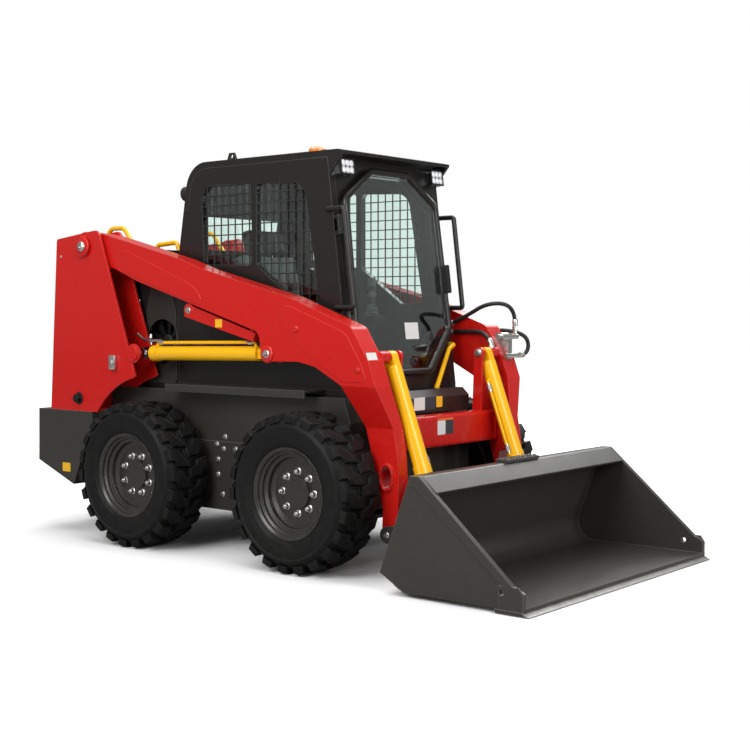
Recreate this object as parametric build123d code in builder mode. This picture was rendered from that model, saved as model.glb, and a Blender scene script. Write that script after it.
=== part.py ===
"""Skid steer loader: wheeled frame, hollow cab, radius lift arms and a bucket on a quick-attach plate."""
import os
from math import radians, tan

from build123d import *

# Place: x is measured from the middle of the wheelbase, then moved so that the whole box is centred.
BUCKET_BACK = 1180.0  # wheelbase middle to the low corner of the bucket's back
BUCKET_DEPTH = 789.0  # that corner to the cutting edge
FRONT_REACH = BUCKET_BACK + BUCKET_DEPTH
REAR_REACH = 1523.0  # wheelbase middle to the back of the bumper
MID_X = (REAR_REACH - FRONT_REACH) / 2

# Fits
RUN_FIT = 0.1  # radial clearance of a pin or rod in its bore
SIDE_PLAY = 5.0  # sideways clearance beside a turning eye
PANEL_GAP = 8.0  # clearance behind a closed door

# Wheels
WHEELBASE = 1160.0
WHEEL_OFF = 675.0  # tyre middle from the centre plane
TYRE_RADIUS = 386.0
TYRE_WIDTH = 264.0
LUG_DEPTH = 24.0
LUG_COUNT = 16  # on each side of the tread
TYRE_WALL = 177.0  # bead to the top of the lugs
BEAD_RADIUS = TYRE_RADIUS - TYRE_WALL
BEAD_HALF = 104.0
FLANGE_RISE = 13.0
FLANGE_THICK = 8.0
DISC_FACE = 33.0  # bolt face outboard of the tyre middle
DISC_THICK = 14.0
HUB_RADIUS = 76.0
SHAFT_RADIUS = 42.0
AXLE_TUBE_RADIUS = 85.0
AXLE_TUBE_END = 626.0

# Lower frame
CASE_OUT = 500.0  # outer face of a chain case
CASE_IN = 330.0
FRAME_LOW = 210.0
FRAME_TOP = 830.0
FRAME_FRONT = 720.0
FRAME_REAR = -1040.0
CASE_SEAM = 570.0  # the case's upper part stands back above this
SEAM_STEP = 8.0
PLATE = 16.0
FLOOR_TOP = 866.0
FENDER_OUT = 600.0

# Towers
PIVOT = (-1115.0, 1610.0)
PIVOT_PIN = 32.0
TOWER_LOW = 692.0
TOWER_BACK = ((-1404.0, TOWER_LOW), (-1335.0, 1659.0))
TOWER_PEAK = (-973.0, 1701.0)
TOE_FRONT = -674.0
TOWER_OUT = 640.0
TOWER_IN = 470.0
TOWER_PLATE = 14.0
ARCH_GAP = 130.0  # between the rear tyre and the tower's cut-out over it
TYRE_ARCH = TYRE_RADIUS + ARCH_GAP

# Lift arms
ARM_OUT = 612.0
ARM_IN = 498.0
LEG_OUT = 527.0
LEG_IN = 457.0
KNEE_TOP = 900.0  # the joggle inwards starts here
KNEE_LOW = 700.0  # and ends here
KNEE_REAR = 765.0
KNEE_FRONT = 975.0
LEG_REAR = 850.0
LEG_FRONT = 1018.0
FOOT = (992.0, 203.0)
FOOT_RADIUS = 44.0
FOOT_PIN = 22.0

# Lift cylinders
LIFT_OFF = 558.0
LIFT_ARM_PIN = (285.0, 1041.0)
LIFT_TOWER_PIN = (-690.0, 1024.0)
LIFT_BARREL = 38.0
LIFT_ROD = 22.0
LIFT_PIN = 20.0
LIFT_EYE = 34.0
LIFT_EYE_WIDTH = 60.0
LIFT_GLAND = 897.0  # gland end from the arm pin

# Tilt cylinders
TILT_OFF = 400.0
TILT_TOP = (896.0, 1034.0)
TILT_LOW = (1148.0, 350.0)
TILT_BARREL = 40.0
TILT_ROD = 20.0
TILT_PIN = 18.0
TILT_EYE = 30.0
TILT_EYE_WIDTH = 46.0
TILT_GLAND = 588.0  # gland end from the top pin
BARREL_WALL = 8.0
GLAND_DEPTH = 40.0
PIPE_RADIUS = 9.0

# Bucket
BUCKET_HALF = 840.0
BUCKET_SIDE = 16.0
BUCKET_SKIN = 14.0
BUCKET_TOP = 538.0
BUCKET_BEND = 114.0  # outer radius between floor and back
EDGE_LOW = 3.0
EDGE_THICK = 18.0
EDGE_DEPTH = 170.0
BUCKET_EYE = 13.0
EAR = 16.0

# Cab
CAB_HALF = 440.0
CAB_WALL = 40.0
CAB_REAR = -540.0
ROOF_TOP = 2044.0
ROOF_SHEET = 34.0
ROOF_LOW = ROOF_TOP - ROOF_SHEET
ROOF_REAR = ROOF_TOP - 246  # the roof wraps down the back to this height
WINDOW_SILL = ROOF_TOP - 554
WINDOW_LOW = ROOF_TOP - 753  # foot of the front side window
ROOF_BEND = 150.0
VISOR_FRONT = 633.0
GLASS = 6.0
DOOR_FOOT = (672.0, 900.0)  # two side points of the sloping cab front
DOOR_HEAD = (535.0, ROOF_LOW - 22)
DOOR_HALF = 405.0
DOOR_TUBE = 19.0
DOOR_BEND = 70.0
HANDLE_TUBE = 13.0


def at_side(y):
    """Side plane at y: sketch x forward from the wheelbase middle, sketch y up, extrusion to the right."""
    return Plane(origin=(MID_X, y, 0), x_dir=(1, 0, 0), z_dir=(0, -1, 0))


def at_front(x):
    """Cross plane at x: sketch x to the left, sketch y up, extrusion forward."""
    return Plane(origin=(MID_X + x, 0, 0), x_dir=(0, 1, 0), z_dir=(1, 0, 0))


def at_height(z):
    """Level plane at z: sketch x forward from the wheelbase middle, sketch y to the left, extrusion up."""
    return Plane(origin=(MID_X, 0, z), x_dir=(1, 0, 0), z_dir=(0, 0, 1))


def slab(points, inner, outer, corner=0.0, mode=Mode.ADD):
    """A right-hand plate of side outline points, from inner to outer off the centre plane."""
    with BuildSketch(at_side(-inner)) as outline:
        with BuildLine():
            Polyline(*points, close=True)
        make_face()
        if corner:
            fillet(vertices(), corner)
    extrude(outline.sketch, amount=outer - inner, mode=mode)


def round_bar(at, radius, inner, outer, mode=Mode.ADD):
    """A right-hand cylinder along y, centred on the side point at."""
    with BuildSketch(at_side(-inner)) as outline:
        with Locations(at):
            Circle(radius)
    extrude(outline.sketch, amount=outer - inner, mode=mode)


def block(x0, x1, y0, y1, z0, z1, mode=Mode.ADD):
    """A box between the given x, y and z limits."""
    with Locations((MID_X + (x0 + x1) / 2, (y0 + y1) / 2, (z0 + z1) / 2)):
        Box(x1 - x0, y1 - y0, z1 - z0, mode=mode)


def tube(points, bend, radius):
    """A bent round bar through points measured from the wheelbase middle."""
    with BuildLine() as run:
        FilletPolyline(*[(MID_X + x, y, z) for x, y, z in points], radius=bend)
    with BuildSketch(run.line ^ 0) as section:
        Circle(radius)
    sweep(section.sketch, path=run.line)


def along(start, end, off, aside=0.0):
    """Plane on a right-hand cylinder's axis: origin at start, normal towards end, moved aside above it."""
    reach = span(start, end)
    rise = ((end[1] - start[1]) / reach, (start[0] - end[0]) / reach)
    return Plane(
        origin=(MID_X + start[0] + aside * rise[0], -off, start[1] + aside * rise[1]),
        x_dir=(0, -1, 0),
        z_dir=(end[0] - start[0], 0, end[1] - start[1]),
    )


def rod_on(axis, radius, low, high, mode=Mode.ADD):
    """A cylinder on the axis plane's normal, from low to high along it."""
    with BuildSketch(axis.offset(low)) as outline:
        Circle(radius)
    extrude(outline.sketch, amount=high - low, mode=mode)


def span(start, end):
    """Distance between two side points."""
    return ((end[0] - start[0]) ** 2 + (end[1] - start[1]) ** 2) ** 0.5


def on_line(start, end, z):
    """x of the straight line through two side points at height z."""
    return start[0] + (z - start[1]) * (end[0] - start[0]) / (end[1] - start[1])


def front_x(z):
    """Where the sloping cab front is at height z."""
    return on_line(DOOR_FOOT, DOOR_HEAD, z)


pieces = {}

# Wheels are built about z with the outside up, then laid on their axles.
TREAD_RADIUS = TYRE_RADIUS - LUG_DEPTH
FLANGE_RADIUS = BEAD_RADIUS + FLANGE_RISE
LUG_FOOT = 30.0  # how far a lug starts inside the tread
SHOULDER = TYRE_WIDTH / 2 - 14
WALL_RADIUS = (FLANGE_RADIUS + TYRE_RADIUS) / 2
LUG_OUTLINE = [(-30, 4), (4, 4), (24, 52), (58, 62), (58, SHOULDER), (26, SHOULDER), (18, 78), (-8, 70)]
with BuildPart() as lug_outer:
    with BuildSketch(Plane.YZ.offset(TREAD_RADIUS - LUG_FOOT)):
        with BuildLine():
            Polyline(*LUG_OUTLINE, close=True)
        make_face()
    extrude(amount=LUG_FOOT + 2 * LUG_DEPTH)
with BuildPart() as lug_inner:
    mirror(lug_outer.part, about=Plane.XY)
with BuildPart() as tyre_shape:
    with PolarLocations(0, LUG_COUNT):
        add(lug_outer.part)
    with PolarLocations(0, LUG_COUNT, start_angle=180 / LUG_COUNT):
        add(lug_inner.part)
    with BuildSketch(Plane.XZ):
        with BuildLine():
            Polyline(
                (BEAD_RADIUS, 0),
                (BEAD_RADIUS, TYRE_WIDTH / 2),
                (WALL_RADIUS, TYRE_WIDTH / 2),
                (TYRE_RADIUS - 26, SHOULDER),
                (TYRE_RADIUS, SHOULDER - 18),
                (TYRE_RADIUS, 0),
                close=True,
            )
        make_face()
        mirror(about=Plane.XZ)
    revolve(axis=Axis.Z, mode=Mode.INTERSECT)
    with BuildSketch(Plane.XZ):
        with BuildLine():
            Polyline(
                (BEAD_RADIUS, 0),
                (BEAD_RADIUS, BEAD_HALF),
                (FLANGE_RADIUS + 8, BEAD_HALF),
                (FLANGE_RADIUS + 34, TYRE_WIDTH / 2 - 4),
                (WALL_RADIUS, TYRE_WIDTH / 2),
                (TREAD_RADIUS - 18, SHOULDER - 2),
                (TREAD_RADIUS, SHOULDER - 26),
                (TREAD_RADIUS, 0),
                close=True,
            )
        make_face()
        mirror(about=Plane.XZ)
    revolve(axis=Axis.Z)

RIM_OUT = BEAD_HALF + FLANGE_THICK
DISC_BACK = DISC_FACE - DISC_THICK
with BuildPart() as rim_shape:
    with BuildSketch(Plane.XZ):
        with BuildLine():
            Polyline(
                (0, DISC_FACE + 14),
                (HUB_RADIUS, DISC_FACE + 14),
                (HUB_RADIUS, DISC_FACE),
                (BEAD_RADIUS - 59, DISC_FACE),
                (BEAD_RADIUS - 39, DISC_FACE + 8),
                (BEAD_RADIUS - 35, DISC_FACE + 30),
                (BEAD_RADIUS - 19, DISC_FACE + 36),
                (BEAD_RADIUS - 17, DISC_FACE + 52),
                (BEAD_RADIUS - 6, DISC_FACE + 58),
                (BEAD_RADIUS - 4, RIM_OUT - 8),
                (FLANGE_RADIUS - 6, RIM_OUT),
                (FLANGE_RADIUS, RIM_OUT),
                (FLANGE_RADIUS, BEAD_HALF),
                (BEAD_RADIUS, BEAD_HALF),
                (BEAD_RADIUS, -BEAD_HALF),
                (FLANGE_RADIUS, -BEAD_HALF),
                (FLANGE_RADIUS, -RIM_OUT),
                (BEAD_RADIUS - 6, -RIM_OUT),
                (BEAD_RADIUS - 10, DISC_BACK - 10),
                (BEAD_RADIUS - 49, DISC_BACK),
                (BEAD_RADIUS - 79, DISC_BACK),
                (BEAD_RADIUS - 79, DISC_BACK - 20),
                (SHAFT_RADIUS, DISC_BACK - 20),
                (SHAFT_RADIUS, CASE_OUT - WHEEL_OFF + 2),
                (0, CASE_OUT - WHEEL_OFF + 2),
                close=True,
            )
        make_face()
    revolve(axis=Axis.Z)

FRONT_AXLE = WHEELBASE / 2
for end, axle in (("front", FRONT_AXLE), ("rear", -FRONT_AXLE)):
    for name, shape in (("tyre", tyre_shape), ("rim", rim_shape)):
        with BuildPart() as right_piece:
            with Locations(Location((MID_X + axle, -WHEEL_OFF, TYRE_RADIUS), (90, 0, 0))):
                add(shape.part)
        with BuildPart() as left_piece:
            mirror(right_piece.part, about=Plane.XZ)
        pieces[f"{name}_{end}_right"] = right_piece.part
        pieces[f"{name}_{end}_left"] = left_piece.part

# Axle housings: bored tubes on flanges against the chain cases, the wheel shafts run in them.
with BuildPart() as axle_housings:
    for axle in (FRONT_AXLE, -FRONT_AXLE):
        round_bar((axle, TYRE_RADIUS), AXLE_TUBE_RADIUS, CASE_OUT, AXLE_TUBE_END)
        round_bar((axle, TYRE_RADIUS), AXLE_TUBE_RADIUS + 30, CASE_OUT, CASE_OUT + PLATE)
        round_bar((axle, TYRE_RADIUS), SHAFT_RADIUS + RUN_FIT, CASE_OUT, AXLE_TUBE_END, Mode.SUBTRACT)
    mirror(about=Plane.XZ)
pieces["axle_housings"] = axle_housings.part

# Lower frame: two chain cases stepped back above their seam, belly, front plate and the deck under the cab.
DECK_FRONT = FRAME_FRONT - 40
with BuildPart() as main_frame:
    slab(
        [
            (FRAME_REAR, FRAME_LOW + 90),
            (FRAME_REAR + 60, FRAME_LOW),
            (FRAME_FRONT - 60, FRAME_LOW),
            (FRAME_FRONT, FRAME_LOW + 60),
            (FRAME_FRONT, FRAME_TOP - 120),
            (DECK_FRONT, FRAME_TOP),
            (FRAME_REAR, FRAME_TOP),
        ],
        CASE_IN,
        CASE_OUT,
    )
    block(FRAME_REAR, FRAME_FRONT, -CASE_OUT, -CASE_OUT + SEAM_STEP, CASE_SEAM, FRAME_TOP, Mode.SUBTRACT)
    mirror(about=Plane.XZ)
    block(FRAME_REAR, FRAME_FRONT - 60, -CASE_IN, CASE_IN, FRAME_LOW, FRAME_LOW + PLATE)
    block(FRAME_FRONT - PLATE, FRAME_FRONT, -CASE_IN, CASE_IN, FRAME_LOW + 60, FRAME_TOP - 120)
    block(CAB_REAR - 20, DECK_FRONT, -CASE_IN, CASE_IN, FRAME_TOP - PLATE, FRAME_TOP)
pieces["main_frame"] = main_frame.part

# Towers: an outer and an inner plate joined at the back, the arm and the lift rod's eye between them.
ARCH_FROM = (-FRONT_AXLE - (TYRE_ARCH**2 - (TOWER_LOW - TYRE_RADIUS) ** 2) ** 0.5, TOWER_LOW)
ARCH_TO = (TOE_FRONT - 20, TYRE_RADIUS + (TYRE_ARCH**2 - (TOE_FRONT - 20 + FRONT_AXLE) ** 2) ** 0.5)
TOWER_TOE = (TOE_FRONT, ARCH_TO[1] + 11)
ARCH_MID = (-FRONT_AXLE - TYRE_ARCH * 0.5736, TYRE_RADIUS + TYRE_ARCH * 0.8192)


def tower_plate(inner, floor):
    """One tower plate from inner outwards; floor is where the plate stops above the chain case."""
    with BuildSketch(at_side(-inner)) as outline:
        with BuildLine():
            Polyline(ARCH_FROM, TOWER_BACK[0], TOWER_BACK[1], TOWER_PEAK, TOWER_TOE, ARCH_TO)
            ThreePointArc(ARCH_TO, ARCH_MID, ARCH_FROM)
        make_face()
        fillet(vertices().sort_by_distance(TOWER_PEAK)[0], 46)
        fillet(vertices().sort_by_distance(TOWER_BACK[1])[0], 16)
        with Locations(LIFT_TOWER_PIN):
            Circle(52)
        if floor:
            with Locations(((FRAME_REAR + FRAME_FRONT) / 2, floor / 2)):
                Rectangle(FRAME_FRONT - FRAME_REAR, floor, mode=Mode.SUBTRACT)
    extrude(outline.sketch, amount=TOWER_PLATE)


with BuildPart() as tower_right:
    tower_plate(TOWER_OUT - TOWER_PLATE, 0)
    tower_plate(TOWER_IN, FRAME_TOP)
    slab(
        [
            TOWER_BACK[0],
            (on_line(*TOWER_BACK, 1630), 1630),
            (on_line(*TOWER_BACK, 1630) + TOWER_PLATE, 1630),
            (TOWER_BACK[0][0] + TOWER_PLATE, TOWER_LOW),
        ],
        TOWER_IN,
        TOWER_OUT,
    )
    slab(
        [
            TOWER_BACK[0],
            (FRAME_REAR, TOWER_LOW),
            (FRAME_REAR, TOWER_LOW + TOWER_PLATE),
            (on_line(*TOWER_BACK, TOWER_LOW + TOWER_PLATE), TOWER_LOW + TOWER_PLATE),
        ],
        TOWER_IN,
        TOWER_OUT,
    )
    round_bar(PIVOT, 62, TOWER_OUT, TOWER_OUT + 8)
    round_bar(PIVOT, PIVOT_PIN, TOWER_IN, TOWER_OUT + 18)
    round_bar(LIFT_TOWER_PIN, 40, TOWER_OUT, TOWER_OUT + 8)
with BuildPart() as tower_left:
    mirror(tower_right.part, about=Plane.XZ)
pieces["tower_right"] = tower_right.part
pieces["tower_left"] = tower_left.part

# Rear bumper: one heavy casting under the rear door, hollowed for the engine.
with BuildPart() as rear_bumper:
    slab(
        [
            (-REAR_REACH + 7, TOWER_LOW),
            (-REAR_REACH, 394),
            (-1208, 273),
            (-1087, 534),
            (FRAME_REAR, 560),
            (FRAME_REAR, TOWER_LOW),
        ],
        -TOWER_OUT,
        TOWER_OUT,
    )
    block(-1300, FRAME_REAR, -CASE_IN, CASE_IN, FRAME_LOW, TOWER_LOW, Mode.SUBTRACT)
pieces["rear_bumper"] = rear_bumper.part

# Engine: one plain block on the belly plate.
with BuildPart() as engine_block:
    block(-1260, -600, -290, 290, FRAME_LOW + PLATE, 980)
pieces["engine_block"] = engine_block.part

# Fenders: running boards over the tyres with a down-turned lip.
FENDER_ENDS = (-480.0, 518.0)
FENDER_SHEET = 10.0
with BuildPart() as fenders:
    slab(
        [
            (FENDER_ENDS[0], FLOOR_TOP - FENDER_SHEET),
            (FENDER_ENDS[1], FLOOR_TOP - FENDER_SHEET),
            (FENDER_ENDS[1], FLOOR_TOP),
            (FENDER_ENDS[0], FLOOR_TOP),
        ],
        CAB_HALF,
        FENDER_OUT,
    )
    slab(
        [
            (FENDER_ENDS[0], FLOOR_TOP - 38),
            (FENDER_ENDS[1], FLOOR_TOP - 38),
            (FENDER_ENDS[1], FLOOR_TOP),
            (FENDER_ENDS[0], FLOOR_TOP),
        ],
        FENDER_OUT - FENDER_SHEET,
        FENDER_OUT,
    )
    mirror(about=Plane.XZ)
pieces["fenders"] = fenders.part

# Hood: a bent sheet over the engine between the towers, with side skirts, carrying the grab rails.
HOOD_SHEET = 20.0
HOOD_LINE = [(-1402, 1330), (-1330, 1490), (-1200, 1530), (-600, 1585)]
with BuildPart() as engine_hood:
    with BuildSketch(at_side(TOWER_IN)):
        with BuildLine():
            FilletPolyline(*HOOD_LINE, radius=50)
            offset(amount=HOOD_SHEET, side=Side.RIGHT)
        make_face()
    extrude(amount=2 * TOWER_IN)
pieces["engine_hood"] = engine_hood.part


def hood_z(x):
    """Height of the hood's outside at x, on its two straight runs behind the cab."""
    rear, middle, front = HOOD_LINE[1:]
    low, high = (middle, front) if x > middle[0] else (rear, middle)
    return low[1] + (x - low[0]) * (high[1] - low[1]) / (high[0] - low[0])


# Grab rails on the hood: a tall hoop by the tower and a low rail by the cab, on both sides.
RAIL_OFF = 350.0
with BuildPart() as hood_rails:
    tube(
        [
            (-1262, -RAIL_OFF, hood_z(-1262)),
            (-1225, -RAIL_OFF, 1728),
            (-1095, -RAIL_OFF, 1728),
            (-952, -RAIL_OFF, hood_z(-952)),
        ],
        50,
        HANDLE_TUBE,
    )
    tube(
        [
            (-830, -RAIL_OFF, hood_z(-830)),
            (-805, -RAIL_OFF, 1622),
            (-655, -RAIL_OFF, 1632),
            (-630, -RAIL_OFF, hood_z(-630)),
        ],
        22,
        HANDLE_TUBE,
    )
    mirror(about=Plane.XZ)
    add(engine_hood.part, mode=Mode.SUBTRACT)
pieces["hood_rails"] = hood_rails.part

# Side panels between cab and tower, each with a round opening.
SIDE_HOLE = (-670.0, 1085.0)
SIDE_HOLE_RADIUS = 125.0
with BuildPart() as side_panels:
    slab(
        [(-860, FRAME_TOP), (CAB_REAR - 4, FRAME_TOP), (CAB_REAR - 4, 1500), (-860, 1470)],
        CAB_HALF - 10,
        CAB_HALF,
    )
    round_bar(SIDE_HOLE, SIDE_HOLE_RADIUS, CAB_HALF - 10, CAB_HALF, Mode.SUBTRACT)
    mirror(about=Plane.XZ)
pieces["side_panels"] = side_panels.part

# Cab floor on the deck, and the step box in front of it.
with BuildPart() as cab_floor:
    block(CAB_REAR, front_x(FLOOR_TOP), -CAB_HALF, CAB_HALF, FRAME_TOP, FLOOR_TOP)
pieces["cab_floor"] = cab_floor.part

STEP_FRONT = 820.0
with BuildPart() as front_step:
    slab(
        [
            (FRAME_FRONT, 738),
            (STEP_FRONT, 738),
            (STEP_FRONT, 815),
            (STEP_FRONT - 40, 852),
            (front_x(FLOOR_TOP), 852),
            (front_x(FLOOR_TOP), FRAME_TOP),
            (DECK_FRONT, FRAME_TOP),
            (FRAME_FRONT, FRAME_TOP - 120),
        ],
        -360,
        360,
    )
pieces["front_step"] = front_step.part

# Roof: a sheet that wraps down the back, with the visor, its cheeks and two lifting eyes.
REAR_LINE = ((-543.0, ROOF_TOP - 503), (-455.0, ROOF_TOP))  # the cab's sloping back above the hood
WRAP_LOW = (on_line(*REAR_LINE, ROOF_REAR), ROOF_REAR)
VISOR_LOW = (VISOR_FRONT - 5, ROOF_LOW + 12)
CHEEK_LOW = ROOF_LOW - 85
LIFT_EYE_HOLE = (-160.0, ROOF_TOP + 20)
LIFT_EYE_BORE = 11.0
with BuildPart() as cab_roof:
    with BuildSketch(at_side(CAB_HALF)):
        with BuildLine():
            FilletPolyline(WRAP_LOW, REAR_LINE[1], (front_x(ROOF_LOW), ROOF_TOP), radius=ROOF_BEND)
            offset(amount=ROOF_SHEET, side=Side.RIGHT)
        make_face()
    extrude(amount=2 * CAB_HALF)
    slab(
        [
            (front_x(ROOF_LOW) - 60, ROOF_LOW),
            (front_x(ROOF_LOW) - 60, ROOF_TOP),
            (VISOR_FRONT - 33, ROOF_TOP),
            (VISOR_FRONT, ROOF_TOP - 8),
            VISOR_LOW,
            (front_x(ROOF_LOW), ROOF_LOW),
        ],
        -CAB_HALF,
        CAB_HALF,
    )
    slab(
        [(front_x(CHEEK_LOW), CHEEK_LOW), (front_x(ROOF_LOW), ROOF_LOW), VISOR_LOW],
        CAB_HALF - PLATE,
        CAB_HALF,
    )
    slab(
        [
            (LIFT_EYE_HOLE[0] - 34, ROOF_TOP),
            (LIFT_EYE_HOLE[0] - 18, LIFT_EYE_HOLE[1] + 18),
            (LIFT_EYE_HOLE[0] + 18, LIFT_EYE_HOLE[1] + 18),
            (LIFT_EYE_HOLE[0] + 34, ROOF_TOP),
        ],
        CAB_HALF - 40,
        CAB_HALF - 28,
    )
    round_bar(LIFT_EYE_HOLE, LIFT_EYE_BORE, CAB_HALF - 40, CAB_HALF - 28, Mode.SUBTRACT)
    mirror(about=Plane.XZ)
pieces["cab_roof"] = cab_roof.part

# Cab sides: one panel each inside the roof's wrap, with two windows.
REAR_WINDOW = [(-362, ROOF_TOP - 122), (12, ROOF_TOP - 134), (12, WINDOW_SILL), (-340, WINDOW_SILL)]
FRONT_WINDOW = [
    (378, ROOF_TOP - 152),
    (482, WINDOW_LOW),
    (330, WINDOW_LOW),
    (46, WINDOW_SILL),
    (46, ROOF_TOP - 136),
]
WINDOW_BEND = 90.0  # at the window's outer top corner
POST_BEND = 24.0  # at its other corners


def window(points, inner, outer, mode=Mode.ADD):
    """A right-hand window outline from inner to outer, its first corner widely rounded."""
    with BuildSketch(at_side(-inner)) as outline:
        with BuildLine():
            Polyline(*points, close=True)
        make_face()
        fillet(vertices().sort_by_distance(points[0])[1:], POST_BEND)
        fillet(vertices().sort_by_distance(points[0])[0], WINDOW_BEND)
    extrude(outline.sketch, amount=outer - inner, mode=mode)


with BuildPart() as cab_side_right:
    with BuildSketch(at_side(-CAB_HALF + CAB_WALL)):
        with BuildLine():
            Polyline(
                (CAB_REAR, FLOOR_TOP),
                REAR_LINE[0],
                REAR_LINE[1],
                (front_x(ROOF_LOW), ROOF_TOP),
                (front_x(ROOF_LOW), ROOF_LOW),
                (front_x(FLOOR_TOP), FLOOR_TOP),
                close=True,
            )
        make_face()
        fillet(vertices().sort_by_distance(REAR_LINE[1])[0], ROOF_BEND)
    extrude(amount=CAB_WALL)
    for outline in (REAR_WINDOW, FRONT_WINDOW):
        window(outline, CAB_HALF - CAB_WALL, CAB_HALF, Mode.SUBTRACT)
    add(cab_roof.part, mode=Mode.SUBTRACT)
with BuildPart() as cab_side_left:
    mirror(cab_side_right.part, about=Plane.XZ)
pieces["cab_side_right"] = cab_side_right.part
pieces["cab_side_left"] = cab_side_left.part

# Bent hand bar from the step up beside the door's lower corner to the cab's post.
BAR_LOW = 845.0
BAR_KNEE = 1052.0
BAR_TOP = 1075.0
BAR_OUT = 32.0
with BuildPart() as step_bar:
    tube(
        [
            (front_x(BAR_LOW) + BAR_OUT, 218, BAR_LOW),
            (front_x(BAR_KNEE) + BAR_OUT, 366, BAR_KNEE),
            (front_x(BAR_TOP) + BAR_OUT, CAB_HALF - CAB_WALL / 2, BAR_TOP),
            (front_x(BAR_TOP) - 10, CAB_HALF - CAB_WALL / 2, BAR_TOP),
        ],
        20,
        HANDLE_TUBE,
    )
    add(front_step.part, mode=Mode.SUBTRACT)
    add(cab_side_left.part, mode=Mode.SUBTRACT)
pieces["step_bar"] = step_bar.part

# Cab rear: a panel between the sides below the wrap, with the rear window.
INSIDE_HALF = CAB_HALF - CAB_WALL
REAR_PANE = (ROOF_REAR - 208, ROOF_REAR - 28)
REAR_PANE_HALF = 300.0
with BuildPart() as cab_rear:
    slab(
        [
            (CAB_REAR, FLOOR_TOP),
            REAR_LINE[0],
            WRAP_LOW,
            (WRAP_LOW[0] + ROOF_SHEET, ROOF_REAR),
            (REAR_LINE[0][0] + ROOF_SHEET, REAR_LINE[0][1]),
            (CAB_REAR + ROOF_SHEET, FLOOR_TOP),
        ],
        -INSIDE_HALF,
        INSIDE_HALF,
    )
    block(CAB_REAR - 40, CAB_REAR + 140, -REAR_PANE_HALF, REAR_PANE_HALF, *REAR_PANE, Mode.SUBTRACT)
    add(cab_roof.part, mode=Mode.SUBTRACT)
pieces["cab_rear"] = cab_rear.part

# Cab glass: four side panes and the rear pane, each in the middle of its wall.
with BuildPart() as cab_glass:
    for outline in (REAR_WINDOW, FRONT_WINDOW):
        window(outline, CAB_HALF - CAB_WALL / 2, CAB_HALF - CAB_WALL / 2 + GLASS)
    mirror(about=Plane.XZ)
    slab(
        [
            (on_line(*REAR_LINE, REAR_PANE[0]) + 14, REAR_PANE[0]),
            (on_line(*REAR_LINE, REAR_PANE[1]) + 14, REAR_PANE[1]),
            (on_line(*REAR_LINE, REAR_PANE[1]) + 14 + GLASS, REAR_PANE[1]),
            (on_line(*REAR_LINE, REAR_PANE[0]) + 14 + GLASS, REAR_PANE[0]),
        ],
        -REAR_PANE_HALF,
        REAR_PANE_HALF,
    )
pieces["cab_glass"] = cab_glass.part

# Wire guards outside the side windows: upright bars on the panel, level bars on the uprights.
GUARD_LAP = 14.0  # how far the bars run on past a window's edge
GUARD_TOP = ROOF_TOP - 110
GUARD_OUTLINE = [
    (-362 - GUARD_LAP, WINDOW_SILL - GUARD_LAP),
    (-362 - GUARD_LAP, GUARD_TOP),
    (378 + GUARD_LAP, GUARD_TOP - 30),
    (482 + GUARD_LAP, WINDOW_LOW - GUARD_LAP),
    (326, WINDOW_LOW - GUARD_LAP),
    (46, WINDOW_SILL - GUARD_LAP),
]
GUARD_MIDDLE = (67.0, (GUARD_TOP + WINDOW_LOW) / 2)
GUARD_WIRE = 5.0
GUARD_PITCH = 52.0
with BuildPart() as guard_uprights:
    with BuildSketch(at_side(-CAB_HALF)):
        with Locations(GUARD_MIDDLE):
            with GridLocations(GUARD_PITCH, 0, 18, 1):
                Rectangle(GUARD_WIRE, 900)
        with BuildLine():
            Polyline(*GUARD_OUTLINE, close=True)
        make_face(mode=Mode.INTERSECT)
    extrude(amount=GUARD_WIRE)
    mirror(about=Plane.XZ)
pieces["guard_uprights"] = guard_uprights.part
with BuildPart() as guard_levels:
    with BuildSketch(at_side(-CAB_HALF - GUARD_WIRE)):
        with Locations(GUARD_MIDDLE):
            with GridLocations(0, GUARD_PITCH, 1, 14):
                Rectangle(1100, GUARD_WIRE)
        with BuildLine():
            Polyline(*GUARD_OUTLINE, close=True)
        make_face(mode=Mode.INTERSECT)
    extrude(amount=GUARD_WIRE)
    mirror(about=Plane.XZ)
pieces["guard_levels"] = guard_levels.part

# Seat: cushion, back and head rest as one plain closed solid on its base.
SEAT_HALF = 235.0
SEAT_LOW = 1040.0
with BuildPart() as seat_base:
    block(-330, 120, -SEAT_HALF + 15, SEAT_HALF - 15, FLOOR_TOP, SEAT_LOW)
pieces["seat_base"] = seat_base.part
with BuildPart() as seat:
    slab(
        [
            (-330, SEAT_LOW),
            (130, SEAT_LOW),
            (165, SEAT_LOW + 100),
            (130, SEAT_LOW + 125),
            (-200, SEAT_LOW + 105),
            (-300, 1640),
            (-375, 1640),
        ],
        -SEAT_HALF,
        SEAT_HALF,
        14,
    )
pieces["seat"] = seat.part

# Controls: an arm-rest console with a stick on each side of the seat.
CONSOLE = (262.0, 375.0)
CONSOLE_TOP = 1230.0
STICK_X = 190.0
with BuildPart() as controls:
    slab(
        [
            (-150, FLOOR_TOP),
            (140, FLOOR_TOP),
            (270, CONSOLE_TOP - 40),
            (250, CONSOLE_TOP),
            (-150, CONSOLE_TOP - 20),
        ],
        *CONSOLE,
    )
    with BuildSketch(at_height(CONSOLE_TOP - 30)):
        with Locations((STICK_X, -sum(CONSOLE) / 2)):
            Circle(15)
    extrude(amount=190, taper=-3)
    mirror(about=Plane.XZ)
pieces["controls"] = controls.part

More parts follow.
